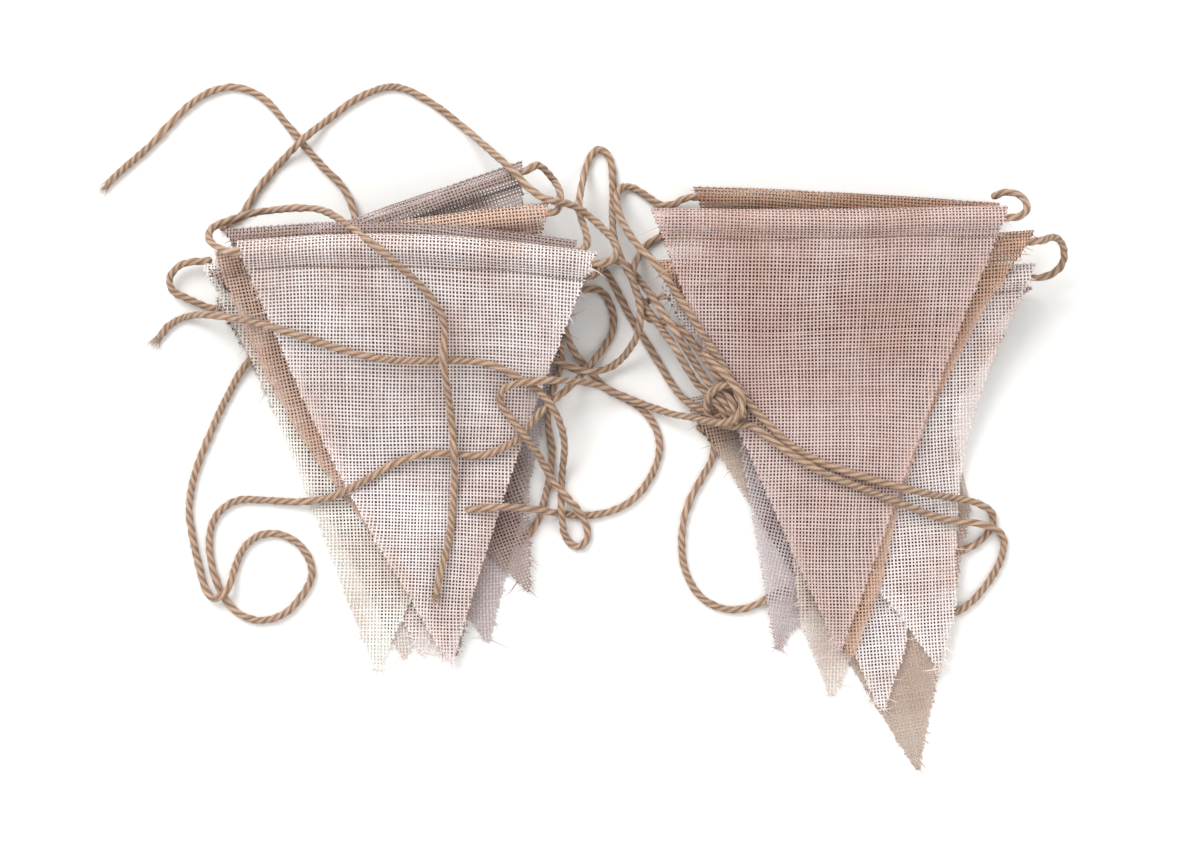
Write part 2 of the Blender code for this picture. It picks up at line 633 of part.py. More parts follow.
def main():
    for old in list(bpy.data.objects):
        bpy.data.objects.remove(old)
    cloths = {pennant.name: Cloth(pennant) for pennant in PENNANTS}
    tops = {}
    paths = {}
    for name in ORDER:
        if name in cloths:
            cloth = cloths[name]
            cloth.settle(pile(tops, ()))
            tops[name] = raster(cloth.points(), cloth.triangles)
            paths[name] = cloth.run()
            tops["run_" + name] = tube_heights(paths[name])
            continue
        before, after, turned = joints(name)
        start = end = None
        left_out = set()
        own = set()
        trims = []
        for part, ahead in ((before, False), (after, True)):
            path = directed(part, paths) if part else None
            if path is None:
                continue
            bare = part.lstrip("-")
            left_out.add("run_" + bare if bare in cloths else bare)
            if ahead:
                end = path[0]
            else:
                start = path[-1]
            trims.append(trimmed(path, ahead))
            own.update({bare} & set(cloths))
        if turned:
            start, end = end, start
        heights = pile(tops, left_out)
        near = pile(tops, left_out | own)
        for trim in trims:
            if trim is not None:
                top = tube_heights(trim)
                np.maximum(heights, top, out=heights)
                np.maximum(near, top, out=near)
        paths[name] = lay(ROUTES[name], heights, near, start, end)
        tops[name] = tube_heights(paths[name])
    for cloth in cloths.values():
        mesh_object(cloth.name, cloth.points(), cloth.triangles)
    for name, parts in TWINES.items():
        joined = []
        for part in parts:
            for point in directed(part, paths):
                if not joined or np.linalg.norm(point - joined[-1]) > 1.0:
                    joined.append(point)
        twine_object(name, joined)


main()
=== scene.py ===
"""Looks of the fabric bunting: woven pennants, sewing thread, jute twine, floor, light, camera."""

import math

import bpy
import numpy as np
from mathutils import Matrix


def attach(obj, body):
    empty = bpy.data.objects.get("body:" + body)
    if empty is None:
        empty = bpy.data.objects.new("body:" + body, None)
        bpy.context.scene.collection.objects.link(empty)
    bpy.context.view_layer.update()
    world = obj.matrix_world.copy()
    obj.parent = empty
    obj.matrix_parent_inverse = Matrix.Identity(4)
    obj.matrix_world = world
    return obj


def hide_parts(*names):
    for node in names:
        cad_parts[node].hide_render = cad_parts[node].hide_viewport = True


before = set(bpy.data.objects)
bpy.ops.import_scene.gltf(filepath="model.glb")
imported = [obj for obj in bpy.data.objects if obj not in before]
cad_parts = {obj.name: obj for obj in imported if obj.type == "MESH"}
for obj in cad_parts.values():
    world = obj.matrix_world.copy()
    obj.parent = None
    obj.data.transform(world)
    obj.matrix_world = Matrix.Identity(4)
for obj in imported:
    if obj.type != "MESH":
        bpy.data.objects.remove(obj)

bl_info = {
    "name": "Fabric bunting",
    "version": (1, 0, 0),
    "blender": (4, 5, 0),
    "location": "3D View > Sidebar > Bunting",
    "description": "Builds the woven pennants, the twine and the stage of a fabric bunting",
    "category": "Add Mesh",
}

# Plan of each pennant in mm: the two ends of the fold and the tip. Then the colour of its
# threads, how far its left and right side bow inwards and over which share of their length,
# how far its fold bows out, and the number of vertices across a thread.
PENNANTS = {
    "left_1": ((-168.4, 70.4), (-19.5, 77.4), (-89.8, -80.5), "pale", (0, 0, 1), 0, 2),
    "left_2": ((-162.8, 90.4), (-15.3, 87.9), (-82.3, -78.8), "white", (0, 0, 1), 0, 2),
    "left_3": ((-161.1, 79.3), (-15.2, 82.6), (-55.2, -72.9), "lilac", (0, 0, 1), 0, 2),
    "left_4": ((-170.7, 83.2), (-23.4, 83.2), (-100.9, -85.3), "cream", (2, 0, 0.85), 0, 2),
    "left_5": ((-167.8, 79.6), (-40.4, 125.2), (-38.1, -52.0), "grey", (0, 0, 1), 0, 2),
    "left_6": ((-164.0, 87.3), (-28.9, 107.5), (-73.3, -77.6), "rust", (-9, 0, 0.75), 1, 2),
    "left_7": ((-158.8, 95.8), (-17.5, 91.7), (-68.3, -78.8), "grey", (0, 0, 1), 4.5, 2),
    "left_8": ((-153.2, 90.5), (-9.5, 86.5), (-70.3, -81.5), "white", (-7.5, 3, 1.0), 4.5, 3),
    "right_1": ((26.6, 27.7), (159.9, 55.1), (123.7, -125.9), "stone", (0, 15, 0.4), 0, 2),
    "right_2": ((32.8, 103.5), (171.2, 74.5), (65.8, -76.3), "lilac", (0, 14, 0.4), 0, 2),
    "right_3": ((19.8, 72.2), (165.3, 72.2), (88.1, -95.7), "sand", (13, 8, 0.82), 0, 2),
    "right_4": ((30.5, 115.9), (158.4, 109.3), (95.5, -74.8), "russet", (0, 4, 0.85), 1, 2),
    "right_5": ((28.7, 67.8), (167.7, 81.0), (109.1, -101.7), "white", (0, 13, 0.85), 0, 2),
    "right_6": ((17.1, 74.2), (169.4, 83.2), (133.0, -84.6), "white", (-8, 10, 0.85), 0, 2),
    "right_7": ((12.1, 83.7), (167.4, 95.9), (96.0, -78.7), "brown", (8, 9.5, 0.86), 0, 2),
    "right_8": ((12.0, 104.1), (155.3, 104.9), (90.9, -75.7), "mauve", (-2, 0, 1.0), -1, 3),
}

STACK = 8  # pennants in a stack

# Section of the casing in mm from the raw edge of the hem round the fold to the sheet:
# distance from the fold and height of the middle of the cloth.
CASING = (
    (22.0, 0.2), (12.5, 0.3), (8.0, 0.42), (4.0, 0.45), (2.2, 0.55), (1.2, 1.0), (0.6, 2.0),
    (0.8, 3.4), (1.8, 4.6), (3.2, 5.4), (5.0, 5.8), (6.8, 5.45), (8.5, 4.5), (10.2, 2.6),
    (11.3, 1.4), (12.4, 1.0), (14.5, 0.85), (18.0, 0.8), (21.0, 0.6), (25.0, 0.5),
)
HEM = 12.0  # distance from the fold to the seam, mm
TIP = 2.0  # width of the cut tip, mm
MM = 0.001

# A pennant's solid has one row at CREST from the fold, one at the seam and ROWS below it. Its
# top is CREST_TOP over the lift in the first row and SHEET_TOP over it in the others, in mm.
COLUMNS, ROWS = 7, 6
CREST, CREST_TOP, SHEET_TOP = 5.0, 6.4, 1.0
FINE = 8  # points of the lift's grid for each column or row of the solid

# Painted shade: cloth under a pennant gets none with OPEN_GAP mm to it and all of it with DARK_GAP,
# from DARK_RIM inside its outline on. The part that is turned over gets that much painted shade.
OPEN_GAP, DARK_GAP, DARK_RIM = 20.0, 6.0, 7.0
BACK_PAINTED_SHADE = 0.85

# How far threads stand off their even places and wander, in pitches, how much their width
# changes, and over how many crossings they do the last two.
STRAY = 0.035
WANDER, WANDER_REACH = 0.012, 34
SWELL, SWELL_REACH = 0.09, 9
LOW_CLOTH, LOW_TWINE = 0.05, 0.02  # least height of a vertex, mm

# Points in mm of each free stretch of twine, most of them as in the part. The strands of the knot
# and the turns beside the casings go on further here, and some hairpins are rounder. A third
# number is a height, where the part has no twine.
ROUTES = {
    "far_tail": (
        (-214.2, 115.7), (-205.9, 123.6), (-195.9, 132.3), (-185.1, 143.9), (-174.4, 153.1),
        (-161.1, 157.2), (-148.6, 152.7), (-139.5, 142.7), (-132.4, 134), (-123.7, 124),
        (-115.8, 116.1), (-111.6, 108.2), (-109.2, 99.9), (-108.7, 90.8), (-112.1, 81.7),
    ),
    "left_turn": (
        (-167.5, 85, 8.6), (-172.3, 84.1, 6.4), (-178.5, 84.1), (-183.5, 82.1), (-187.2, 77.1),
        (-185.4, 71.5), (-179.3, 69),
    ),
    "curl": (
        (-11.8, 73.4), (-8.8, 72.8), (-6.6, 71.3), (-3.7, 66.3), (-2.4, 60.1), (-3.7, 53.4),
        (-7.4, 47.6), (-14.5, 38.9), (-20.7, 32.2), (-26.5, 27.3), (-33.2, 21), (-38.1, 14.8),
        (-43.1, 9.8), (-49.8, 6.1), (-58.9, 3.6), (-70.5, 4.8), (-83, 4), (-93.4, 0.3),
        (-105.8, -6.8), (-118.3, -13), (-132.8, -15.5), (-148.6, -14.7), (-158.6, -14.7),
        (-166.9, -19.7), (-170.6, -28.4), (-170.2, -39.6), (-166.5, -52.1), (-159.8, -61.2),
        (-150.3, -64.9), (-139.9, -62.4), (-131.6, -53.7), (-127.8, -44.6), (-132, -34.6),
        (-140.3, -29.2), (-149.4, -29.2), (-156.5, -34.6), (-160.2, -42.9), (-162.7, -52.1),
        (-168.5, -56.2), (-173.1, -50), (-175.6, -40.4), (-177.7, -30.5), (-179.3, -18),
        (-177.3, -5.6), (-172.7, 7.7), (-166, 22.7), (-161.1, 32.7), (-157.7, 38.5), (-154.4, 43),
        (-149.4, 47.6), (-143.2, 50.9), (-136.1, 50.9),
    ),
    "link_low": (
        (-11.6, 82.9), (-7, 81.2), (-2.9, 75.8), (0.5, 68.8), (5.9, 58.8), (12.5, 48.4), (20, 36),
        (25.8, 27.7), (32, 23.5, 9), (38, 21, 11), (44, 20, 13),
    ),
    "link_mid": (
        (-9.6, 78.4), (-7.4, 82), (-4.6, 84.8), (-1.2, 85), (2.9, 82.3), (7.5, 76.7), (13.3, 68.4),
        (18.3, 60.9), (28.3, 45.5), (35.8, 34.3), (40.5, 28.5, 19.5), (45, 22.5, 20),
        (48, 17.5, 19),
    ),
    "big_ring": (
        (-65.1, -18.8), (-56, -17.6), (-43.5, -17.2), (-31.1, -19.3), (-16.6, -21.3), (-4.1, -19.7),
        (6.3, -13.9), (13.3, -4.3), (16.7, 6.1), (15, 15.2), (8.8, 23.5), (0.9, 28.1), (-4.9, 31),
        (-10.7, 36.8), (-15.7, 42.2), (-19.9, 48.4), (-22.4, 55.9), (-22.4, 63.4), (-19, 70),
        (-18.2, 75),
    ),
    "corner_turn": (
        (-34.8, 124), (-29.4, 119.9), (-24.9, 113.2), (-24.4, 107.8),
    ),
    "tall_loop": (
        (-13.2, 92), (-14.9, 97.4), (-17, 105.7), (-15.4, 117.4), (-13, 126.6), (-8.4, 131.9),
        (-3.7, 126.4), (-2.9, 114), (-3.3, 103.7), (-2.4, 92.4), (1.3, 82.5), (6.3, 72.5),
        (8.4, 62.1), (6.7, 52.6), (0.9, 43.9), (-5.8, 39.7), (-11.6, 38.5), (-16.6, 38.9),
        (-21.5, 40.5), (-26.5, 43), (-31.9, 45.1), (-36.5, 48.8), (-38.6, 53.8), (-36.1, 58),
        (-31.9, 58), (-28.2, 55.1), (-25.3, 50.9), (-24, 45.9), (-24.9, 40.1), (-26.5, 34.3),
        (-29.4, 26.8), (-29.8, 16.5), (-28.2, 6.1), (-29, -4.3), (-31.1, -13.4), (-34, -23),
        (-37.3, -28.8), (-42.3, -32.5),
    ),
    "top_arc": (
        (-167.3, 96.6), (-162.7, 100.8), (-157.7, 103.2), (-151.5, 113.2), (-142.8, 124),
        (-132.4, 134), (-120.4, 144.4), (-107.1, 153.5), (-93.4, 157.2), (-79.7, 151.4),
        (-66.4, 141.4), (-53.9, 129.4), (-47.3, 123.2), (-41.5, 117.4), (-36.5, 112),
        (-29.8, 107.4), (-23.2, 106.6), (-17.4, 104.9), (-11.6, 100.8), (-5.8, 94.9), (-1.8, 89.8),
        (-1.6, 84.4),
    ),
    "front_tail": (
        (-162.7, 88.3), (-166.5, 92), (-164.4, 97), (-157.7, 99.9), (-146.9, 104.1),
        (-132.8, 104.9), (-119.5, 102.8), (-107.1, 94.9), (-91.3, 82.5), (-78, 70), (-71, 58),
        (-71.4, 43.4), (-69.7, 26.8), (-68, 6.1), (-68.5, -14.7), (-70.5, -31.3), (-74.3, -45.8),
        (-75.9, -55),
    ),
    "zigzag": (
        (-193, 50.9), (-188.9, 56.7), (-182.7, 60.9), (-173.5, 62.1), (-159.8, 60.5),
        (-148.6, 58.4), (-132.8, 53.4), (-116.2, 48), (-101.7, 43.9), (-87.1, 42.2), (-70.5, 42.6),
        (-56, 41.8), (-46.5, 38.5), (-39, 34.3), (-32.3, 29.3), (-26.5, 21.9), (-22.8, 9.8),
        (-23.6, -0.6), (-24.4, -12.2), (-24, -21.4), (-22.8, -29.6), (-18.2, -34.8), (-13.4, -31.6),
        (-14, -24.6), (-19.2, -16.6), (-27.4, -7.2), (-34.4, 5.7), (-40.2, 13.6), (-47.7, 23.1),
        (-49.4, 29.3), (-44.4, 32.7), (-37.7, 33.9), (-26.5, 34.7), (-15.7, 34.3), (-7.4, 32.2),
        (7.5, 26), (21.6, 21), (30.8, 19.4), (37.4, 17.6, 17), (43.6, 17.4, 22), (48.6, 20.6, 26),
        (49.8, 26.6, 28), (46.8, 32, 30.2), (42.4, 36.8, 30.4), (37.4, 42.4, 27), (32.6, 48, 24.5),
    ),
    "tie": (
        (128.8, -40.4), (137.1, -37.9), (147.1, -33.8), (153.7, -28), (155.4, -20.5),
        (147.1, -15.5), (136.3, -13.4), (124.6, -11.4), (108, -7.2), (91.4, -2.2), (76.9, 3.6),
        (67.3, 10.2), (59, 18.5), (52.4, 25.2), (50.4, 30, 24.4), (45, 33, 27), (39, 31.6, 23.5),
        (35.4, 26.6, 18), (36, 21, 13.5), (40.2, 17.2, 12), (46.4, 15.6, 16.5), (52.4, 16.9),
        (59, 12.7), (68.6, 5.2), (83.1, -3.1), (99.7, -9.7), (116.3, -16.3), (130.4, -21.3),
        (141.2, -23.8), (151.2, -24.7), (159.5, -29.6), (158.7, -38.8), (152.9, -49.6),
        (144.6, -58.7), (136.7, -62.9), (130.4, -65.3), (123.8, -66.2),
    ),
    "hanging_loop": (
        (30.8, 16.9), (35.8, 13.6), (39.5, 8.6), (37.8, 0.7), (32.4, -8.5), (27.9, -18),
        (25.8, -29.2), (26.2, -40.4), (30, -50.4), (36.6, -57.5), (45.7, -60.4), (54, -59.5),
        (60.7, -56.2), (66.5, -52.9), (71.5, -51.2),
    ),
    "link_back": (
        (27.5, 97), (20.8, 95.8), (14.6, 93.7), (10, 90.4), (7.9, 86.6), (5.5, 81.7), (5, 75.8),
        (7.5, 69.2), (11.7, 63), (17.5, 54.7), (25.4, 43), (31.2, 33.9), (36.5, 28.5, 16.5),
        (41.5, 23.5, 17), (45, 18, 16),
    ),
    "link_top": (
        (26.6, 110.3), (21.6, 107.8), (15.8, 108.2), (10.4, 112.4), (3.4, 116.1), (-1.2, 113.6),
        (-1.2, 106.6), (1.3, 99.1), (5.9, 90.8), (13.3, 82.5), (21.6, 71.7), (31.2, 56.7),
        (40.3, 43.4), (45.3, 35.1), (48, 29, 23), (50, 23.5, 22), (51, 18, 20),
    ),
    "link_fill": (
        (10.6, 67.4), (9, 63.4), (11.4, 59.8), (16.2, 59.2), (21.6, 57.4), (27.5, 53), (34.1, 44.3),
        (39.9, 36), (42.4, 31.8), (45.5, 26.5, 22.5), (47.5, 21, 22), (47, 15.5, 19),
    ),
    "side_turn": (
        (177, 93.3), (181.5, 88.3), (181.5, 81.7), (177.4, 78.3), (172.5, 77, 11), (167, 77.6, 14),
        (161, 79, 16),
    ),
    "top_turn": (
        (162, 101, 45), (163.8, 105.4, 41), (161, 110, 35), (155.6, 111.2, 29), (150.6, 108.6, 24),
    ),
}

# Each twine: its stretches in order. A pennant's name is the run through its casing, with a
# minus sign when it goes from the right end to the left one.
TWINES = {
    "twine_far": ("far_tail",),
    "twine_curl": ("left_turn", "left_1", "curl"),
    "twine_link_low": ("left_2", "link_low"),
    "twine_link_mid": ("left_3", "link_mid"),
    "twine_ring": ("big_ring", "-left_4"),
    "twine_corner": ("left_5", "corner_turn", "-left_6"),
    "twine_tall": ("left_7", "tall_loop"),
    "twine_arc": ("top_arc", "-left_8", "front_tail"),
    "twine_zigzag": ("zigzag",),
    "twine_tie": ("tie",),
    "twine_hanging": ("hanging_loop",),
    "twine_base": ("right_1",),
    "twine_back": ("-right_2", "link_back"),
    "twine_lead": ("-right_4", "link_top"),
    "twine_fill": ("-right_6", "link_fill"),
    "twine_side_low": ("right_3",),
    "twine_side_mid": ("right_5",),
    "twine_side_top": ("right_7", "side_turn"),
    "twine_top": ("right_8", "top_turn"),
}
TUNNEL = (5.3, 3.1)  # the twine's centre in a casing: distance from the fold and height, mm
MOUTH = 2.6  # how far a run sticks out of its casing, mm
NEAR = 2.0  # a stretch leaves out its points that are nearer to the end of the last one, mm
PLIES = 3
AROUND = 15  # vertices round the twine

# Nodes in which the twine's first or last end is free and shows.
FREE_ENDS = {"twine_far": "start", "twine_zigzag": "start", "twine_arc": "end", "twine_tall": "end"}


def linear(code):
    """sRGB hex colour as linear RGB: each channel c is c/12.92 below 0.04045, else a 2.4 power."""
    values = [int(code[k : k + 2], 16) / 255 for k in (1, 3, 5)]
    return tuple(c / 12.92 if c <= 0.04045 else ((c + 0.055) / 1.055) ** 2.4 for c in values)


def colour_of(code, text):
    """Colour property with its name as description and an sRGB hex colour as default."""
    return bpy.props.FloatVectorProperty(
        name=text, description=text, subtype="COLOR", size=3, min=0, max=1, default=linear(code)
    )


def length_of(mm, name, text, low=0.05, high=20.0):
    """Length property with its default and limits given in mm."""
    return bpy.props.FloatProperty(
        name=name, description=text, unit="LENGTH", default=mm * MM, min=low * MM, max=high * MM,
        precision=4,
    )


# Default colours of the cloth.
COLOURS = {
    "white": "#EEE4E2", "cream": "#F6EFE8", "lilac": "#C6B9BA", "mauve": "#D4BCB6",
    "brown": "#CCA790", "grey": "#AC9A95", "rust": "#D4B5A3", "russet": "#B8957F",
    "sand": "#DACCC2", "stone": "#C0AA9A", "pale": "#DBD1CB",
}


class ClothSettings(bpy.types.PropertyGroup):
    """Weave and colours of the pennants."""

    pitch: length_of(1.4, "Pitch", "Distance between two threads of the weave")
    width: length_of(0.65, "Thread width", "Width of a thread of the weave")
    crimp: length_of(0.24, "Crimp", "How far a thread goes up and down in the weave", 0.0)
    fray: length_of(0.25, "Fray", "Mean length of the thread ends at the cut sides", 0.0)
    stitch: colour_of("#96755A", "Sewing thread")
    __annotations__.update({k: colour_of(v, k.title() + " cloth") for k, v in COLOURS.items()})


class TwineSettings(bpy.types.PropertyGroup):
    """Size and colours of the twine."""

    diameter: length_of(3.2, "Diameter", "Diameter of the twine")
    lay: length_of(13.0, "Lay", "Length of one turn of a ply", 2.0, 60.0)
    step: length_of(1.0, "Step", "Distance between two rings of the mesh", 0.3)
    fuzz: bpy.props.FloatProperty(
        name="Fuzz", description="Loose fibres for each mm of twine", default=3.6, min=0, max=12
    )
    light: colour_of("#D3B195", "Jute, light fibres")
    # The dark colour also serves as painted shade in the grooves between the plies.
    dark: colour_of("#6E503D", "Jute, dark fibres")


class StageSettings(bpy.types.PropertyGroup):
    """Floor and light."""

    floor: colour_of("#F6F5F3", "Floor")
    ambient: bpy.props.FloatProperty(
        name="Ambient", description="Strength of the even light", default=0.68, min=0, max=5
    )
    key: bpy.props.FloatProperty(
        name="Key", description="Power of the soft main light, in watts", default=22, min=0, max=500
    )


# Meshes in general.


def mesh_object(name, part, material):
    """Object of the root body from a part: points in mm, quads, and layers, each a name and its
    values for every vertex."""
    points, faces, layers = part
    mesh = bpy.data.meshes.new(name)
    mesh.vertices.add(len(points))
    mesh.vertices.foreach_set("co", (points * MM).astype(np.float32).ravel())
    mesh.loops.add(faces.size)
    mesh.loops.foreach_set("vertex_index", faces.astype(np.int32).ravel())
    mesh.polygons.add(len(faces))
    mesh.polygons.foreach_set("loop_start", np.arange(0, faces.size, 4, dtype=np.int32))
    mesh.polygons.foreach_set("use_smooth", np.ones(len(faces), dtype=bool))
    mesh.update(calc_edges=True)
    uv = mesh.uv_layers.new(name="UVMap")
    uv.data.foreach_set("uv", layers["uv"][faces.ravel()].astype(np.float32).ravel())
    for key, values in layers.items():
        if key != "uv":
            layer = mesh.attributes.new(key, "FLOAT", "POINT")
            layer.data.foreach_set("value", values.astype(np.float32))
    mesh.materials.append(material)
    mesh.validate()
    made = bpy.data.objects.new(name, mesh)
    bpy.context.scene.collection.objects.link(made)
    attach(made, "root")
    return made


def joined(parts):
    """Several (points, faces, layers) as one, with the faces of each moved on by those before."""
    counts = np.cumsum([0] + [len(p[0]) for p in parts])
    points = np.vstack([p[0] for p in parts])
    faces = np.vstack([p[1] + n for p, n in zip(parts, counts)])
    layers = {k: np.concatenate([p[2][k] for p in parts]) for k in parts[0][2]}
    return points, faces, layers


def unit(vectors):
    """Vectors divided by their length."""
    return vectors / np.maximum(np.linalg.norm(vectors, axis=-1, keepdims=True), 1e-9)


def ribbons(points, run):
    """Ribbons from points (ribbon, step, edge): a quad between each step and the next. The UV
    is run, the distance along the ribbon, and -1 or 1 for its two edges."""
    number = np.arange(points[..., 0].size).reshape(points.shape[:3])
    faces = np.stack(
        (number[:, :-1, 0], number[:, :-1, 1], number[:, 1:, 1], number[:, 1:, 0]), axis=-1
    )
    uv = np.zeros(points.shape[:3] + (2,))
    uv[..., 0] = run[..., None]
    uv[..., 1] = (-1, 1)
    return points.reshape(-1, 3), faces.reshape(-1, 4), uv.reshape(-1, 2)


def fibres(base, heading, bend, length, width, tone, steps=4):
    """Tapered ribbons. Point k of a fibre is base + heading*length*k/steps + bend*(k/steps)^2,
    and its width falls to a tenth at the tip. The flat side is turned up."""
    share = np.linspace(0, 1, steps + 1)
    run = length[:, None] * share
    line = base[:, None] + heading[:, None] * run[..., None] + bend[:, None] * (share**2)[None, :, None]
    across = unit(np.cross(heading, (0.05, 0.08, 1.0)))[:, None]
    half = (width[:, None] * (1 - 0.9 * share) / 2)[..., None]
    points, faces, uv = ribbons(np.stack((line - across * half, line + across * half), axis=2), run)
    return points, faces, {"uv": uv, "tone": np.repeat(tone, (steps + 1) * 2)}


# Cloth.


def over(node, plan):
    """Heights in mm of a solid's upper faces over plan points, by the three shares (barycentric)
    that a point has in a triangle: a row for each point, not a number where a triangle isn't
    over it."""
    mesh = node.data
    mesh.calc_loop_triangles()
    corners = np.empty(len(mesh.vertices) * 3, dtype=np.float32)
    mesh.vertices.foreach_get("co", corners)
    corners = corners.reshape(-1, 3) / MM
    index = np.empty(len(mesh.loop_triangles) * 3, dtype=np.int32)
    mesh.loop_triangles.foreach_get("vertices", index)
    a, b, c = corners[index].reshape(-1, 3, 3).transpose(1, 0, 2)
    area = (b[:, 0] - a[:, 0]) * (c[:, 1] - a[:, 1]) - (c[:, 0] - a[:, 0]) * (b[:, 1] - a[:, 1])
    flat = np.abs(area) > 1e-3
    a, b, c, area = a[flat], b[flat], c[flat], area[flat]
    x, y = plan[:, None, 0], plan[:, None, 1]
    at_b = ((x - a[:, 0]) * (c[:, 1] - a[:, 1]) - (c[:, 0] - a[:, 0]) * (y - a[:, 1])) / area
    at_c = ((b[:, 0] - a[:, 0]) * (y - a[:, 1]) - (x - a[:, 0]) * (b[:, 1] - a[:, 1])) / area
    at_a = 1 - at_b - at_c
    inside = np.minimum(np.minimum(at_a, at_b), at_c) > -0.01
    height = at_a * a[:, 2] + at_b * b[:, 2] + at_c * c[:, 2]
    return np.where(inside & (area > 0), height, np.nan)


def blurred(values, amount, passes):
    """Values smoothed along both axes: each is mixed with the mean of its two neighbours."""
    for _ in range(passes):
        for axis in (0, 1):
            wide = np.pad(values, [(1, 1) if k == axis else (0, 0) for k in (0, 1)], mode="edge")
            low = np.take(wide, range(0, values.shape[axis]), axis)
            high = np.take(wide, range(2, values.shape[axis] + 2), axis)
            values = values * (1 - amount) + (low + high) / 2 * amount
    return values


def wave(size, rng, reach):
    """Smooth random lines, an array of that size: each is half the sum of three sines with
    random phases, whose lengths are about 0.6, 1 and 1.9 times reach values."""
    at = np.arange(size[-1])
    total = np.zeros(size)
    for k in (0.6, 1.0, 1.9):
        phase = rng.uniform(0, 2 * np.pi, size[:-1] + (1,))
        pace = rng.uniform(0.8, 1.25, size[:-1] + (1,)) * 2 * np.pi / (reach * k)
        total += np.sin(at * pace + phase) * 0.5
    return total


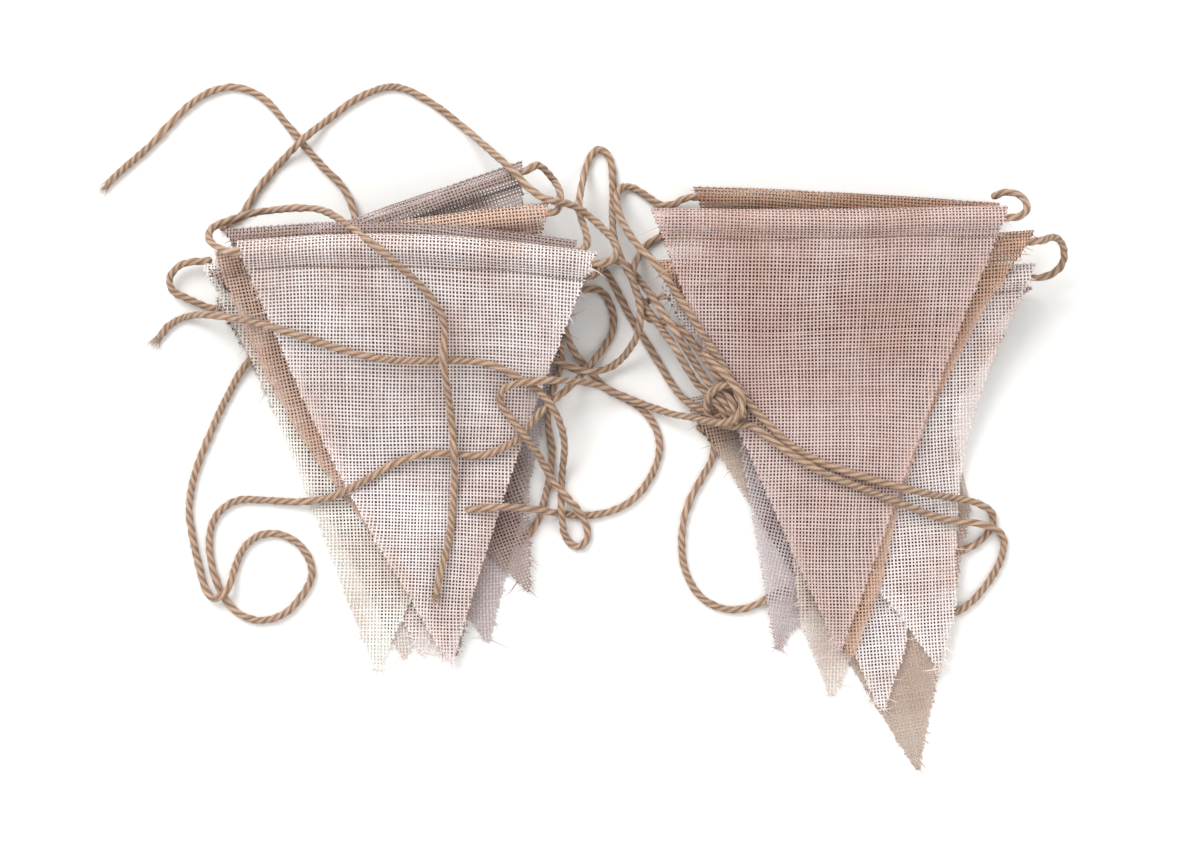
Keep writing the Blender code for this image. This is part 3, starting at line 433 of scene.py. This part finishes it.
class Pennant:
    """Shape of one pennant: where a thread crossing (distance a along the fold, distance s
    along the cloth from the raw edge of the hem) lies in space."""

    def __init__(self, name):
        left, right, tip, self.cloth, self.bows, self.crown, self.across = PENNANTS[name]
        self.left, right, tip = np.array(left), np.array(right), np.array(tip)
        self.along = unit(right - self.left)
        self.down = np.array((self.along[1], -self.along[0]))
        self.width = float((right - self.left) @ self.along)
        self.depth = float((tip - self.left) @ self.down)
        self.starts = float((tip - self.left) @ self.along) - TIP / 2
        self.ends = self.starts + TIP - self.width
        self.length = float(np.linalg.norm(tip - (self.left + right) / 2))
        section = np.array(CASING)
        at = np.linspace(0, len(section) - 1, 161)
        section = np.column_stack([np.interp(at, np.arange(len(section)), v) for v in section.T])
        for _ in range(6):
            section[1:-1] = section[1:-1] / 2 + (section[:-2] + section[2:]) / 4
        self.section = section
        self.run = distances(section)
        self.total = self.run[-1] + self.depth - section[-1, 0]
        self.fold = float(self.run[section[:, 0].argmin()])
        self.phase = 1.7 * list(PENNANTS).index(name)
        self.heights(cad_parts[name])

    def sides(self, b):
        """Where the cloth starts and ends along the fold, at a distance b from it: straight
        lines to the tip, each moved inwards by its bow times half a turn of a sine."""
        f = np.clip(b / self.depth, 0, 1.06)
        bow = np.sin(np.pi * np.clip(f / self.bows[2], 0, 1))
        return self.starts * f + self.bows[0] * bow, self.width + self.ends * f - self.bows[1] * bow

    def cut(self, a):
        """Distance from the fold at which a warp thread that lies at a meets the nearer of the
        two sides. Beyond the ends of the fold it is a place before the fold."""
        b = np.linspace(0, self.depth, 400)
        start, end = self.sides(b)
        left = np.interp(a, start, b, left=-9, right=self.depth)
        return np.minimum(left, np.interp(-a, -end, b, left=-9, right=self.depth))

    def heights(self, node):
        """Lift of the cloth on a fine grid of columns and rows: the top of its solid less what
        the section is high there, carried on from the crest to the fold, and smoothed."""
        rows = np.concatenate(([CREST], np.linspace(HEM, self.length, ROWS + 1)))
        share = rows / self.length
        start = self.starts * share
        end = self.width + self.ends * share
        column = np.clip(np.arange(COLUMNS + 1) / COLUMNS, 0.003, 0.997)
        a = start + (end - start) * column[:, None]
        b = np.broadcast_to(np.clip(self.depth * share, 0, self.depth - 0.02), a.shape)
        plan = self.left + a[..., None] * self.along + b[..., None] * self.down
        top = np.nanmax(over(node, plan.reshape(-1, 2)), axis=1).reshape(a.shape)
        top[:, 0] -= CREST_TOP
        top[:, 1:] -= SHEET_TOP
        top[:, 0] = (top[:, 0] - top[:, 1] * CREST / HEM) / (1 - CREST / HEM)
        at = [np.arange(n * FINE + 1) / FINE for n in (COLUMNS, ROWS + 1)]
        wide = np.array([np.interp(at[0], np.arange(COLUMNS + 1), line) for line in top.T])
        full = np.array([np.interp(at[1], np.arange(ROWS + 2), line) for line in wide.T])
        self.lift = blurred(full, 0.5, 3)

    def lifted(self, a, b):
        """Lift at a and b, between the four nearest points of the fine grid."""
        start, end = self.sides(b)
        column = np.clip((a - start) / np.maximum(end - start, 1), 0, 1) * COLUMNS * FINE
        t = b * self.length / self.depth
        row = np.where(t < HEM, t / HEM, 1 + (t - HEM) / (self.length - HEM) * ROWS) * FINE
        row = np.clip(row, 0, self.lift.shape[1] - 1.001)
        column = np.clip(column, 0, self.lift.shape[0] - 1.001)
        i, j = column.astype(int), row.astype(int)
        u, v = column - i, row - j
        g = self.lift
        near = g[i, j] * (1 - u) + g[i + 1, j] * u
        far = g[i, j + 1] * (1 - u) + g[i + 1, j + 1] * u
        return near * (1 - v) + far * v

    def swayed(self, a, s):
        """The weave pulled out of line: a and s each moved by the sum of three sines that cross
        each other, a tenth as far at the tip as from 20 mm before it on."""
        moved = []
        for value, turn in ((a, 0.0), (s, 2.1)):
            shift = 0.45 * np.sin(a / 17 + s / 29 + self.phase + turn)
            shift += 0.35 * np.sin(s / 13 - a / 37 + 2 * self.phase + turn)
            shift += 0.15 * np.sin(a / 7.1 + s / 9.3 + 3 * self.phase - turn)
            moved.append(value + shift * np.clip((self.total - s) / 20, 0.1, 1))
        return moved

    def at(self, a, s, out=0.0):
        """Point at a and s: the section's point at s, or past its end one that goes straight on,
        raised by the lift and moved along the section's normal by out. The fold's bow fades
        with the cube of the distance to the tip."""
        beyond = np.maximum(s - self.run[-1], 0)
        b = np.interp(s, self.run, self.section[:, 0]) + beyond
        z = np.interp(s, self.run, self.section[:, 1])
        slope = np.gradient(self.section, self.run, axis=0)
        tb = np.where(beyond > 0, 1, np.interp(s, self.run, slope[:, 0]))
        tz = np.where(beyond > 0, 0, np.interp(s, self.run, slope[:, 1]))
        f = np.clip(b / self.depth, 0, 1)
        lift = self.lifted(a, np.maximum(b, 0))
        bowed = b - self.crowned(a) * (1 - f) ** 3 - tz * out
        plan = self.left + a[..., None] * self.along + bowed[..., None] * self.down
        return np.concatenate((plan, (z + lift + tb * out)[..., None]), axis=-1)

    def tunnel(self):
        """The twine's line through the casing, from the left end to the right one: 14 points that
        follow the fold and the lift."""
        a = np.concatenate(([-MOUTH], np.linspace(4, self.width - 4, 12), [self.width + MOUTH]))
        b = np.full(a.shape, TUNNEL[0])
        plan = self.left + a[:, None] * self.along + (b - self.crowned(a))[:, None] * self.down
        return np.column_stack((plan, TUNNEL[1] + self.lifted(a, b)))

    def crowned(self, a):
        """How far the fold bows out at a: its crown times half a turn of a sine."""
        return self.crown * np.sin(np.pi * np.clip(a / self.width, 0, 1))

    def distance(self, s):
        """Distance from the fold of a crossing at s along the cloth."""
        return np.interp(s, self.run, self.section[:, 0]) + np.maximum(s - self.run[-1], 0)


def covered(node, points):
    """Painted shade: how far each point lies in the dark under the pennants above it, a share that
    darkens its colour: 0 in the open or with OPEN_GAP over it, rising evenly to 1 with DARK_GAP and
    DARK_RIM inside their outlines."""
    stack, number = node.split("_")
    share = np.zeros(len(points))
    for k in range(int(number) + 1, STACK + 1):
        above = Pennant(f"{stack}_{k}")
        off = points[:, :2] - above.left
        a, b = off @ above.along, off @ above.down
        start, end = above.sides(b)
        inside = np.minimum(np.minimum(a - start, end - a), np.minimum(b, above.depth - b))
        gap = above.lifted(a, np.clip(b, 0, above.depth)) - points[:, 2]
        near = np.clip((OPEN_GAP - gap) / (OPEN_GAP - DARK_GAP), 0, 1)
        share = np.maximum(share, np.clip(inside / DARK_RIM, 0, 1) * near)
    return share


def threads(pennant, settings, rng, lengthwise):
    """The warp (lengthwise) or weft of a pennant. Thread n runs through every crossing m of its
    line; it goes out by crimp*(-1)^(n+m), the two sets the opposite way. Across it has 2 or 3
    vertices, the middle one raised. Its ends are cut by the pennant's sides plus its fray. Its
    tone is a random shade of its own plus painted light: a painted highlight makes the warp a
    little lighter and the weft darker, and 0.8 more where it goes out is painted light on the
    crossings on top, leaving painted shade on those underneath. The turned-over part gets painted
    shade."""
    pitch, crimp = settings.pitch / MM, settings.crimp / MM
    margin = 9.0
    a_lines = np.arange(-margin, pennant.width + margin, pitch)
    s_lines = np.arange(0, pennant.total + margin, pitch)
    a_lines += rng.normal(0, STRAY, a_lines.shape) * pitch
    s_lines += rng.normal(0, STRAY, s_lines.shape) * pitch
    own, other = (a_lines, s_lines) if lengthwise else (s_lines, a_lines)
    count, cross = len(own), len(other)
    line = own[:, None] + wave((count, cross), rng, WANDER_REACH) * WANDER * pitch
    outward = np.where((np.arange(count)[:, None] + np.arange(cross)) % 2 == 0, 1.0, -1.0)
    outward = outward * (1 if lengthwise else -1)
    half = settings.width / MM / 2 * rng.uniform(0.9, 1.08, (count, 1))
    half = half * (1 + SWELL * wave((count, cross), rng, SWELL_REACH))
    a = line if lengthwise else np.broadcast_to(other, line.shape)
    s = np.broadcast_to(other, line.shape) if lengthwise else line
    b = pennant.distance(s)
    start, end = pennant.sides(b)
    fray = settings.fray / MM
    ends = np.minimum(rng.exponential(fray, (2, count, 1)), 5.0)
    if lengthwise:
        last = pennant.cut(own)[:, None] + ends[0] * 1.5
        keep = (b < last + pitch) & (s > rng.uniform(0, 1.6, (count, 1)))
        s = np.where(s > pennant.fold, np.minimum(s, last + pennant.total - pennant.depth), s)
    else:
        low, high = start - ends[0], end + ends[1]
        keep = (b < pennant.depth + 1.0) & (s > 0.9) & (a > low - pitch) & (a < high + pitch)
        a = np.clip(a, low, high)
    inner = np.clip(np.minimum(a - start, end - a) / 4, 0, 1)
    swayed_a, s = pennant.swayed(a, s)
    a = a + (swayed_a - a) * inner
    sides = (-1.0, 1.0) if pennant.across == 2 else (-1.0, 0.0, 1.0)
    wide, long = (half, 0) if lengthwise else (0, half)
    rings = []
    for side in sides:
        height = outward * crimp + (0.1 - 0.17 * side * side if len(sides) == 3 else 0.0)
        rings.append(pennant.at(a + side * wide, s + side * long, height))
    points = np.stack(rings, axis=2)
    number = np.arange(points[..., 0].size).reshape(points.shape[:3])
    both = keep[:, :-1] & keep[:, 1:]
    low, high = number[:, :-1][both], number[:, 1:][both]
    faces = np.vstack([
        np.stack((low[:, k], high[:, k], high[:, k + 1], low[:, k + 1]), axis=-1)
        for k in range(len(sides) - 1)
    ])
    if not lengthwise:
        faces = faces[:, ::-1]
    uv = np.zeros(points.shape[:3] + (2,))
    uv[..., 0] = (other[None, :] + rng.uniform(0, 60, (count, 1)))[..., None]
    uv[..., 1] = sides
    # Painted light: 0.8 more on the crossings on top, and a painted highlight on the warp.
    tone = rng.uniform(0, 0.5, (count, 1)) + 0.4 * (outward + 1) + (0.1 if lengthwise else -0.15)
    tone = np.broadcast_to(tone[..., None], points.shape[:3])
    # Painted shade on the part of the casing that is turned over, before the fold.
    back = np.where((s < pennant.fold)[..., None], BACK_PAINTED_SHADE, 0.0) * np.ones(len(sides))
    layers = {"uv": uv.reshape(-1, 2), "tone": tone.ravel(), "back": back.ravel()}
    used, faces = np.unique(faces, return_inverse=True)
    layers = {k: v[used] for k, v in layers.items()}
    return points.reshape(-1, 3)[used], faces.reshape(-1, 4), layers


def loose_ends(pennant, settings, rng, count=64):
    """Loose threads on the two cut sides, a quarter of them at the ends of the hem and the rest
    closer together towards the tip: fibres that start on the side, head outwards along the weft
    or down along the warp and bend at random."""
    b = pennant.depth * (1 - rng.uniform(0, 1, count) ** 2 * 0.97)
    b[: count // 4] = pennant.depth * rng.uniform(0, 0.14, count // 4)
    side = rng.integers(0, 2, count)
    start, end = pennant.sides(b)
    s = pennant.total - (pennant.depth - b)
    a = np.where(side == 0, start + 0.6, end - 0.6)
    base = pennant.at(a, s, 0.1)
    outward = np.where(side == 0, -1.0, 1.0)[:, None] * pennant.along
    mix = rng.uniform(0.1, 1.0, (count, 1))
    plan = unit(outward * mix + pennant.down * (1.05 - mix) + rng.normal(0, 0.15, (count, 2)))
    heading = np.column_stack((plan, rng.uniform(-0.05, 0.12, count)))
    length = np.minimum(1.5 + rng.exponential(1.6, count), 7.5)
    length = length * np.where(b > pennant.depth * 0.93, 1.5, 1.0)
    bend = rng.normal(0, 0.33, (count, 3)) * length[:, None] * (1, 1, 0.2)
    width = rng.uniform(0.25, 0.6, count)
    return fibres(base, heading, bend, length, width, rng.uniform(0, 1, count))


def stitches(pennant, rng):
    """Sewing thread along the seam of the casing: a line of stitches that wanders by two sines,
    each stitch a ribbon that rises off the cloth and back by half a turn of a sine."""
    stitch, gap, half = 2.7, 0.35, 0.2
    seam = pennant.run[-1] - (pennant.section[-1, 0] - HEM) + 0.2
    start, end = pennant.sides(np.array([HEM]))
    first = np.arange(start[0] + 3.0, end[0] - 3.0, stitch + gap)
    share = np.linspace(0, 1, 5)
    a = first[:, None] + stitch * share
    wander = 0.5 * np.sin(a / 17.0 + rng.uniform(0, 6)) + 0.25 * np.sin(a / 6.3)
    s = seam + wander
    out = 0.5 + 0.25 * np.sin(np.pi * share) * np.ones_like(a)
    edges = np.stack((pennant.at(a, s - half, out), pennant.at(a, s + half, out)), axis=2)
    points, faces, uv = ribbons(edges, a)
    return points, faces, {"uv": uv, "tone": np.full(len(points), 0.5)}


# Twine.


def stretch(part, first, last):
    """Points of one stretch of twine, with no height where it lies on something. A minus sign
    turns it round. A twine that starts or ends in a casing leaves out the mouth there."""
    bare = part.lstrip("-")
    cased = bare in PENNANTS
    line = Pennant(bare).tunnel() if cased else np.array([(*p, np.nan)[:3] for p in ROUTES[bare]])
    line = line[::-1] if part.startswith("-") else line
    return line[int(cased and first) : len(line) - int(cased and last)]


def twine_line(node, parts, step, radius):
    """Centre line of a twine. Its plan follows its routes and casings, and where they give no
    height it is that of the solid's top less the radius. Where the twine crosses itself the
    solid has two tops, and the one nearest to the last height is the right one, so this is found
    point after point along the line."""
    pieces = []
    for part in parts:
        line = stretch(part, part == parts[0], part == parts[-1])
        if pieces:
            line = line[np.linalg.norm(line[:, :2] - pieces[-1][-1, :2], axis=1) > NEAR]
        pieces.append(line)
    points = np.vstack(pieces)
    given = np.isfinite(points[:, 2])
    points[~given, 2] = 0
    line = smooth_line(points, given, step)
    plan = np.column_stack([blurred(line[:, k : k + 1], 0.5, 9) for k in (0, 1)])
    given = line[:, 3] > 0.999
    heights = over(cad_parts[node], plan) - radius
    found = np.where(given, line[:, 2], np.nan)
    last = np.nanmax(heights[np.isfinite(heights).any(axis=1)][0])
    for k, row in enumerate(heights):
        if given[k]:
            last = found[k]
        elif np.isfinite(row).any():
            last = row[np.nanargmin(np.abs(row - last))]
            found[k] = last
    have = np.flatnonzero(np.isfinite(found))
    z = np.interp(np.arange(len(plan)), have, found[have])
    z = blurred(z[:, None], 0.5, 4)[:, 0]
    return np.column_stack((plan, np.maximum(z, radius + LOW_TWINE)))


def distances(line):
    """Distance of each point of a line from its start, along the line."""
    return np.concatenate(([0], np.cumsum(np.linalg.norm(np.diff(line, axis=0), axis=1))))


def smooth_line(points, marks, step):
    """Points about step apart on a smooth line through the given ones (Catmull-Rom), with the
    marks as a fourth column, mixed evenly between the points."""
    p = np.column_stack((points, marks))
    p = np.vstack((2 * p[0] - p[1], p, 2 * p[-1] - p[-2]))
    t = np.linspace(0, 1, 24, endpoint=False)[:, None]
    a, b, c, d = (p[k : len(p) - 3 + k, None] for k in range(4))
    line = 0.5 * (
        2 * b + (c - a) * t + (2 * a - 5 * b + 4 * c - d) * t**2 + (3 * b - a - 3 * c + d) * t**3
    )
    line[..., 3:] = b[..., 3:] * (1 - t) + c[..., 3:] * t
    line = np.vstack((line.reshape(-1, 4), p[-2]))
    run = distances(line[:, :2])
    even = np.linspace(0, run[-1], max(8, int(run[-1] / step)))
    return np.column_stack([np.interp(even, run, column) for column in line.T])


def turned_frame(line):
    """Directions ahead, to the side and up at each point of a line."""
    ahead = unit(np.gradient(line, axis=0))
    side = unit(np.cross(ahead, (0.0, 0.0, 1.0)))
    return ahead, side, np.cross(side, ahead)


def plied(line, radius, lay, rng):
    """Three plies laid together: the radius at angle d from a ply's middle is
    c*cos(d) + sqrt(q^2 - (c*sin(d))^2), with the ply's radius q and its distance c from the
    centre. The section turns once in about every lay, each ply swells and thins along its
    length, and both ends close to a point."""
    run = distances(line)
    _, side, up = turned_frame(line)
    angle = np.arange(AROUND) * 2 * np.pi / AROUND
    sector = 2 * np.pi / PLIES
    off = (angle + sector / 2) % sector - sector / 2
    q, c = 0.66 * radius, 0.34 * radius
    section = c * np.cos(off) + np.sqrt(q * q - (c * np.sin(off)) ** 2)
    size = 1 + 0.11 * wave((PLIES, len(line)), rng, 12)
    thick = section * size[np.floor((angle + sector / 2) / sector).astype(int) % PLIES].T
    thick = thick * np.minimum(1, np.minimum(run, run[-1] - run)[:, None] / 0.8 + 0.12)
    pace = 1 + 0.35 * wave((1, len(line)), rng, 60)[0]
    turned = angle + 2 * np.pi * (np.cumsum(pace) * (run[-1] / len(line)) / lay)[:, None]
    points = (
        line[:, None]
        + side[:, None] * (np.cos(turned) * thick)[..., None]
        + up[:, None] * (np.sin(turned) * thick)[..., None]
    )
    number = np.arange(points[..., 0].size).reshape(points.shape[:2])
    after = np.roll(number, -1, axis=1)
    faces = np.stack((number[:-1], number[1:], after[1:], after[:-1]), axis=-1).reshape(-1, 4)
    uv = np.stack(np.broadcast_arrays(run[:, None], angle / (2 * np.pi)), axis=-1).reshape(-1, 2)
    # Painted shade: the tone is darkest in the groove between the plies.
    painted_groove_shade = np.broadcast_to((section - section.min()) / np.ptp(section), points.shape[:2])
    return points.reshape(-1, 3), faces, {"uv": uv, "tone": painted_groove_shade.ravel()}


def fuzz(line, radius, density, rng):
    """Short fibres that stand out of the twine: each starts 0.8 of the radius from its centre,
    heads outwards and along it either way, and bends at random but not into the floor."""
    ahead, side, up = turned_frame(line)
    count = int(distances(line)[-1] * density)
    k = rng.integers(1, len(line) - 1, count)
    theta = rng.uniform(0, 2 * np.pi, count)[:, None]
    spoke = side[k] * np.cos(theta) + up[k] * np.sin(theta)
    base = line[k] + spoke * radius * 0.8
    heading = spoke * rng.uniform(0.4, 1.2, (count, 1)) + ahead[k] * rng.choice((-1, 1), (count, 1))
    length = np.minimum(0.7 + rng.exponential(0.5, count), 1.9)
    bend = np.clip(rng.normal(0, 0.25, (count, 3)), -0.4, 0.4) * length[:, None]
    bend[:, 2] = np.maximum(bend[:, 2], (radius * 0.8 - line[k, 2]) * 0.2)
    tone = rng.uniform(0.6, 1.0, count)
    return fibres(base, unit(heading), bend, length, np.full(count, 0.13), tone, 2)


def cut_end(line, free, radius, rng, count=34):
    """Loose fibres of a cut end: they start within the twine, head on out of it and a little to
    all sides, and bend at random."""
    k, way = (0, -1) if free == "start" else (-1, 1)
    ahead, side, up = (vectors[k] for vectors in turned_frame(line))
    theta = rng.uniform(0, 2 * np.pi, (count, 1))
    spoke = side * np.cos(theta) + up * np.sin(theta) * 0.5
    base = line[k] + spoke * radius * rng.uniform(0.1, 0.7, (count, 1)) - ahead * way * 1.2
    heading = unit(ahead * way + spoke * rng.uniform(0.0, 0.55, (count, 1)))
    length = rng.uniform(3.0, 7.0, count)
    bend = rng.normal(0, 0.22, (count, 3)) * length[:, None] * (1, 1, 0.15)
    width = rng.uniform(0.2, 0.5, count)
    return fibres(base, heading, bend, length, width, rng.uniform(0.4, 1, count))


def above_floor(part, low):
    """A (points, faces, layers) part with no point lower than low."""
    part[0][:, 2] = np.maximum(part[0][:, 2], low)
    return part


# Materials.


def socket(node, key):
    """Input by number, or the first one in use with that name."""
    if isinstance(key, int):
        return node.inputs[key]
    return enabled(s for s in node.inputs if s.name == key)


def add_node(tree, kind, values=None, links=(), **options):
    """Add a node; values are input values by name or number, links (input, source) pairs."""
    node = tree.nodes.new("ShaderNode" + kind)
    for key, value in options.items():
        setattr(node, key, value)
    for key, value in (values or {}).items():
        socket(node, key).default_value = value
    for key, source in links:
        tree.links.new(source, socket(node, key))
    return node


def enabled(sockets):
    """First of the sockets that is in use."""
    return next(s for s in sockets if s.enabled)


def new_material(name):
    """A material with an empty node tree, and that tree."""
    material = bpy.data.materials.new(name)
    material.use_nodes = True
    material.node_tree.nodes.clear()
    return material, material.node_tree


def noise(tree, place, scale, detail, roughness):
    """Noise texture over the coordinates in place."""
    values = {"Scale": scale, "Detail": detail, "Roughness": roughness}
    return add_node(tree, "TexNoise", values, [("Vector", place)]).outputs["Fac"]


def streaks(tree, stretched, *shape):
    """Noise drawn out along a thread: over the UV, stretched along it and across it."""
    uv = add_node(tree, "UVMap", uv_map="UVMap")
    place = add_node(tree, "Mapping", {"Scale": stretched}, [("Vector", uv.outputs[0])])
    return noise(tree, place.outputs[0], *shape)


def attribute(tree, name):
    """Value of a mesh attribute in a material."""
    return add_node(tree, "Attribute", attribute_name=name).outputs["Fac"]


def ramp(tree, value, *ends):
    """Colour that goes evenly from one end to the other, each a position and a colour."""
    node = add_node(tree, "ValToRGB", links=[("Fac", value)])
    for k, (position, colour) in enumerate(ends):
        element = node.color_ramp.elements[k]
        element.position, element.color = position, colour
    return node.outputs[0]


def toned(tree, streak, weight):
    """The tone of each vertex, a random shade with painted light and shade, times weight, plus the
    streaks.
    """
    links = [(0, attribute(tree, "tone")), (2, streak)]
    node = add_node(tree, "Math", {1: weight}, links, operation="MULTIPLY_ADD")
    return node.outputs[0]


def finish_material(tree, colour, height, bump, roughness, sheen):
    """Principled surface with a constant roughness and sheen, and a bump from height."""
    values = {"Strength": 1.0, "Distance": bump}
    normal = add_node(tree, "Bump", values, [("Height", height)])
    values = {"Roughness": roughness, "IOR": 1.5, "Sheen Weight": sheen, "Sheen Roughness": 0.5}
    links = [("Base Color", colour), ("Normal", normal.outputs[0])]
    shader = add_node(tree, "BsdfPrincipled", values, links)
    add_node(tree, "OutputMaterial", links=[("Surface", shader.outputs[0])])


def scaled(colour, by):
    """RGBA colour whose channels are those of colour times by, at most 1."""
    return tuple(min(1.0, c * k) for c, k in zip(colour, np.broadcast_to(by, 3).tolist())) + (1.0,)


def cloth_material(name, colour):
    """Loosely spun jute and linen yarn, plain woven and washed. Each thread has its own shade, with
    painted light and shade on its crossings; short fibres make it streaky along its length, faint
    red-brown clouds go over the whole cloth, and it has no gloss. Painted shade takes what lies
    under other cloth, and the turned-over hem, to a dark brown."""
    material, tree = new_material(name)
    streak = streaks(tree, (0.55, 0.9, 1.0), 1.6, 3.0, 0.6)
    # Painted light and shade: the ramp turns the painted crossing light and warp highlight into colour.
    shade = ramp(
        tree, toned(tree, streak, 0.5), (0.3, scaled(colour, 0.58)), (1.05, scaled(colour, 1.14))
    )
    place = add_node(tree, "TexCoord").outputs["Object"]
    cloud = ramp(
        tree, noise(tree, place, 26.0, 4.0, 0.6), (0.38, (0.84, 0.74, 0.7, 1)), (0.6, (1, 1, 1, 1))
    )
    worn = add_node(
        tree, "Mix", {"Factor": 1.0}, [("A", shade), ("B", cloud)],
        data_type="RGBA", blend_type="MULTIPLY",
    )
    # Painted shade: a dark brown mixed in under other cloth and on the turned-over hem.
    painted_shade_mix = add_node(
        tree, "Mix", {"B": scaled(colour, (0.15, 0.1, 0.085))},
        [("Factor", attribute(tree, "covered")), ("A", enabled(worn.outputs))], data_type="RGBA",
    )
    finish_material(tree, enabled(painted_shade_mix.outputs), streak, 0.00012, 0.9, 0.15)
    return material


def twine_material(name, light, dark):
    """Jute fibre spun to three plies and twisted, unbleached. Light fibres run along each ply, with
    painted shade darkening the groove between the plies, a faint sheen and no gloss."""
    material, tree = new_material(name)
    streak = streaks(tree, (0.22, 26.0, 1.0), 1.0, 5.0, 0.72)
    shade = ramp(
        tree, toned(tree, streak, 0.3), (0.4, scaled(dark, 1.0)), (0.82, scaled(light, 1.05))
    )
    finish_material(tree, shade, streak, 0.0006, 0.85, 0.2)
    return material


# Operators, panel and registration.

SENSOR = 36.0  # width of the camera's sensor, mm
VIEW = 0.5  # width of the floor that the camera sees, m
CAMERA = (-0.00825, 0.01625, 1.18)  # over the middle of the picture, m
FLOOR = 4.0  # from the middle of the floor to its sides, m
UNDER = 0.0003  # how far the floor lies under the part, m


class BUNTING_OT_stage(bpy.types.Operator):
    """Add the floor, the soft light and the camera"""

    bl_idname = "bunting.stage"
    bl_label = "Floor, light and camera"

    def execute(self, context):
        settings = context.scene.bunting_stage
        camera_data = bpy.data.cameras.new("camera")
        camera_data.lens, camera_data.sensor_width = SENSOR * CAMERA[2] / VIEW, SENSOR
        camera = bpy.data.objects.new("camera", camera_data)
        camera.location = CAMERA
        context.scene.collection.objects.link(camera)
        context.scene.camera = camera
        material, tree = new_material("paper_floor")
        # Matt white paper: even, no gloss.
        values = {"Base Color": (*settings.floor, 1.0), "Roughness": 0.95, "IOR": 1.45}
        shader = add_node(tree, "BsdfPrincipled", values)
        add_node(tree, "OutputMaterial", links=[("Surface", shader.outputs[0])])
        mesh = bpy.data.meshes.new("floor")
        corners = [(-FLOOR, -FLOOR), (FLOOR, -FLOOR), (FLOOR, FLOOR), (-FLOOR, FLOOR)]
        mesh.from_pydata([(*corner, -UNDER) for corner in corners], [], [(0, 1, 2, 3)])
        mesh.materials.append(material)
        floor = bpy.data.objects.new("floor", mesh)
        context.scene.collection.objects.link(floor)
        world = bpy.data.worlds.new("studio")
        world.use_nodes = True
        background = world.node_tree.nodes["Background"]
        background.inputs["Color"].default_value = (1, 1, 1, 1)
        background.inputs["Strength"].default_value = settings.ambient
        context.scene.world = world
        context.scene.view_settings.view_transform = "Standard"
        for name, place, size, power in (
            ("key", (-0.7, 0.9, 1.3), 1.0, settings.key),
            ("fill", (0.9, -0.4, 1.2), 1.2, settings.key * 0.3),
        ):
            data = bpy.data.lights.new(name, "AREA")
            data.size, data.energy = size, power
            light = bpy.data.objects.new(name, data)
            light.location = place
            x, y, z = place
            light.rotation_euler = (math.atan2(math.hypot(x, y), z), 0, math.atan2(x, -y))
            context.scene.collection.objects.link(light)
        return {"FINISHED"}


class BUNTING_OT_twine(bpy.types.Operator):
    """Lay the jute twine"""

    bl_idname = "bunting.twine"
    bl_label = "Twine"

    def execute(self, context):
        settings = context.scene.bunting_twine
        material = twine_material("jute_twine", settings.light, settings.dark)
        radius = settings.diameter / MM / 2
        for k, (node, parts) in enumerate(TWINES.items()):
            free = FREE_ENDS.get(node)
            line = twine_line(node, parts, settings.step / MM, radius)
            rng = np.random.default_rng(100 + k)
            body = plied(line, radius, settings.lay / MM, rng)
            hair = fuzz(line, radius, settings.fuzz, rng)
            made = mesh_object(node + "_jute", above_floor(joined([body, hair]), LOW_TWINE), material)
            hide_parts(node)
            if free:
                tail = above_floor(cut_end(line, free, radius, rng), LOW_TWINE)
                mesh_object(node + "_end", tail, material)
            float(distances(line)[-1]) * MM
        return {"FINISHED"}


class BUNTING_OT_pennants(bpy.types.Operator):
    """Weave the pennants and sew their casings"""

    bl_idname = "bunting.pennants"
    bl_label = "Pennants"

    def execute(self, context):
        settings = context.scene.bunting_cloth
        materials = {
            name: cloth_material(name + "_jute_linen", getattr(settings, name)) for name in COLOURS
        }
        sewing = cloth_material("sewing_cotton", settings.stitch)
        for k, node in enumerate(PENNANTS):
            rng = np.random.default_rng(k)
            pennant = Pennant(node)
            parts = [
                threads(pennant, settings, rng, True),
                threads(pennant, settings, rng, False),
                loose_ends(pennant, settings, rng),
            ]
            parts[2][2]["back"] = np.zeros(len(parts[2][0]))
            woven = above_floor(joined(parts), LOW_CLOTH)
            layers = woven[2]
            # Painted shade from the pennants above and on the turned-over hem.
            layers["covered"] = np.maximum(covered(node, woven[0]), layers.pop("back"))
            made = mesh_object(node + "_cloth", woven, materials[pennant.cloth])
            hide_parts(node)
            sewn = mesh_object(node + "_seam", stitches(pennant, rng), sewing)
        return {"FINISHED"}


class BUNTING_PT_panel(bpy.types.Panel):
    """Settings and steps of the bunting"""

    bl_idname = "BUNTING_PT_panel"
    bl_label = "Fabric bunting"
    bl_space_type = "VIEW_3D"
    bl_region_type = "UI"
    bl_category = "Bunting"

    def draw(self, context):
        for name, (group, operator) in GROUPS.items():
            box = self.layout.box()
            for key in group.__annotations__:
                box.prop(getattr(context.scene, name), key)
            box.operator(operator.bl_idname)


GROUPS = {
    "bunting_stage": (StageSettings, BUNTING_OT_stage),
    "bunting_twine": (TwineSettings, BUNTING_OT_twine),
    "bunting_cloth": (ClothSettings, BUNTING_OT_pennants),
}
CLASSES = (*(kind for pair in GROUPS.values() for kind in pair), BUNTING_PT_panel)


def register():
    """Register the classes and put the settings on the scene."""
    for kind in CLASSES:
        bpy.utils.register_class(kind)
    for name, (group, _) in GROUPS.items():
        setattr(bpy.types.Scene, name, bpy.props.PointerProperty(type=group))


def unregister():
    """Undo what register does."""
    for name in GROUPS:
        delattr(bpy.types.Scene, name)
    for kind in reversed(CLASSES):
        bpy.utils.unregister_class(kind)


def main():
    """Build the scene."""
    register()
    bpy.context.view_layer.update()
    bpy.ops.bunting.stage()
    bpy.ops.bunting.twine()
    bpy.ops.bunting.pennants()


if __name__ == "__main__":
    main()
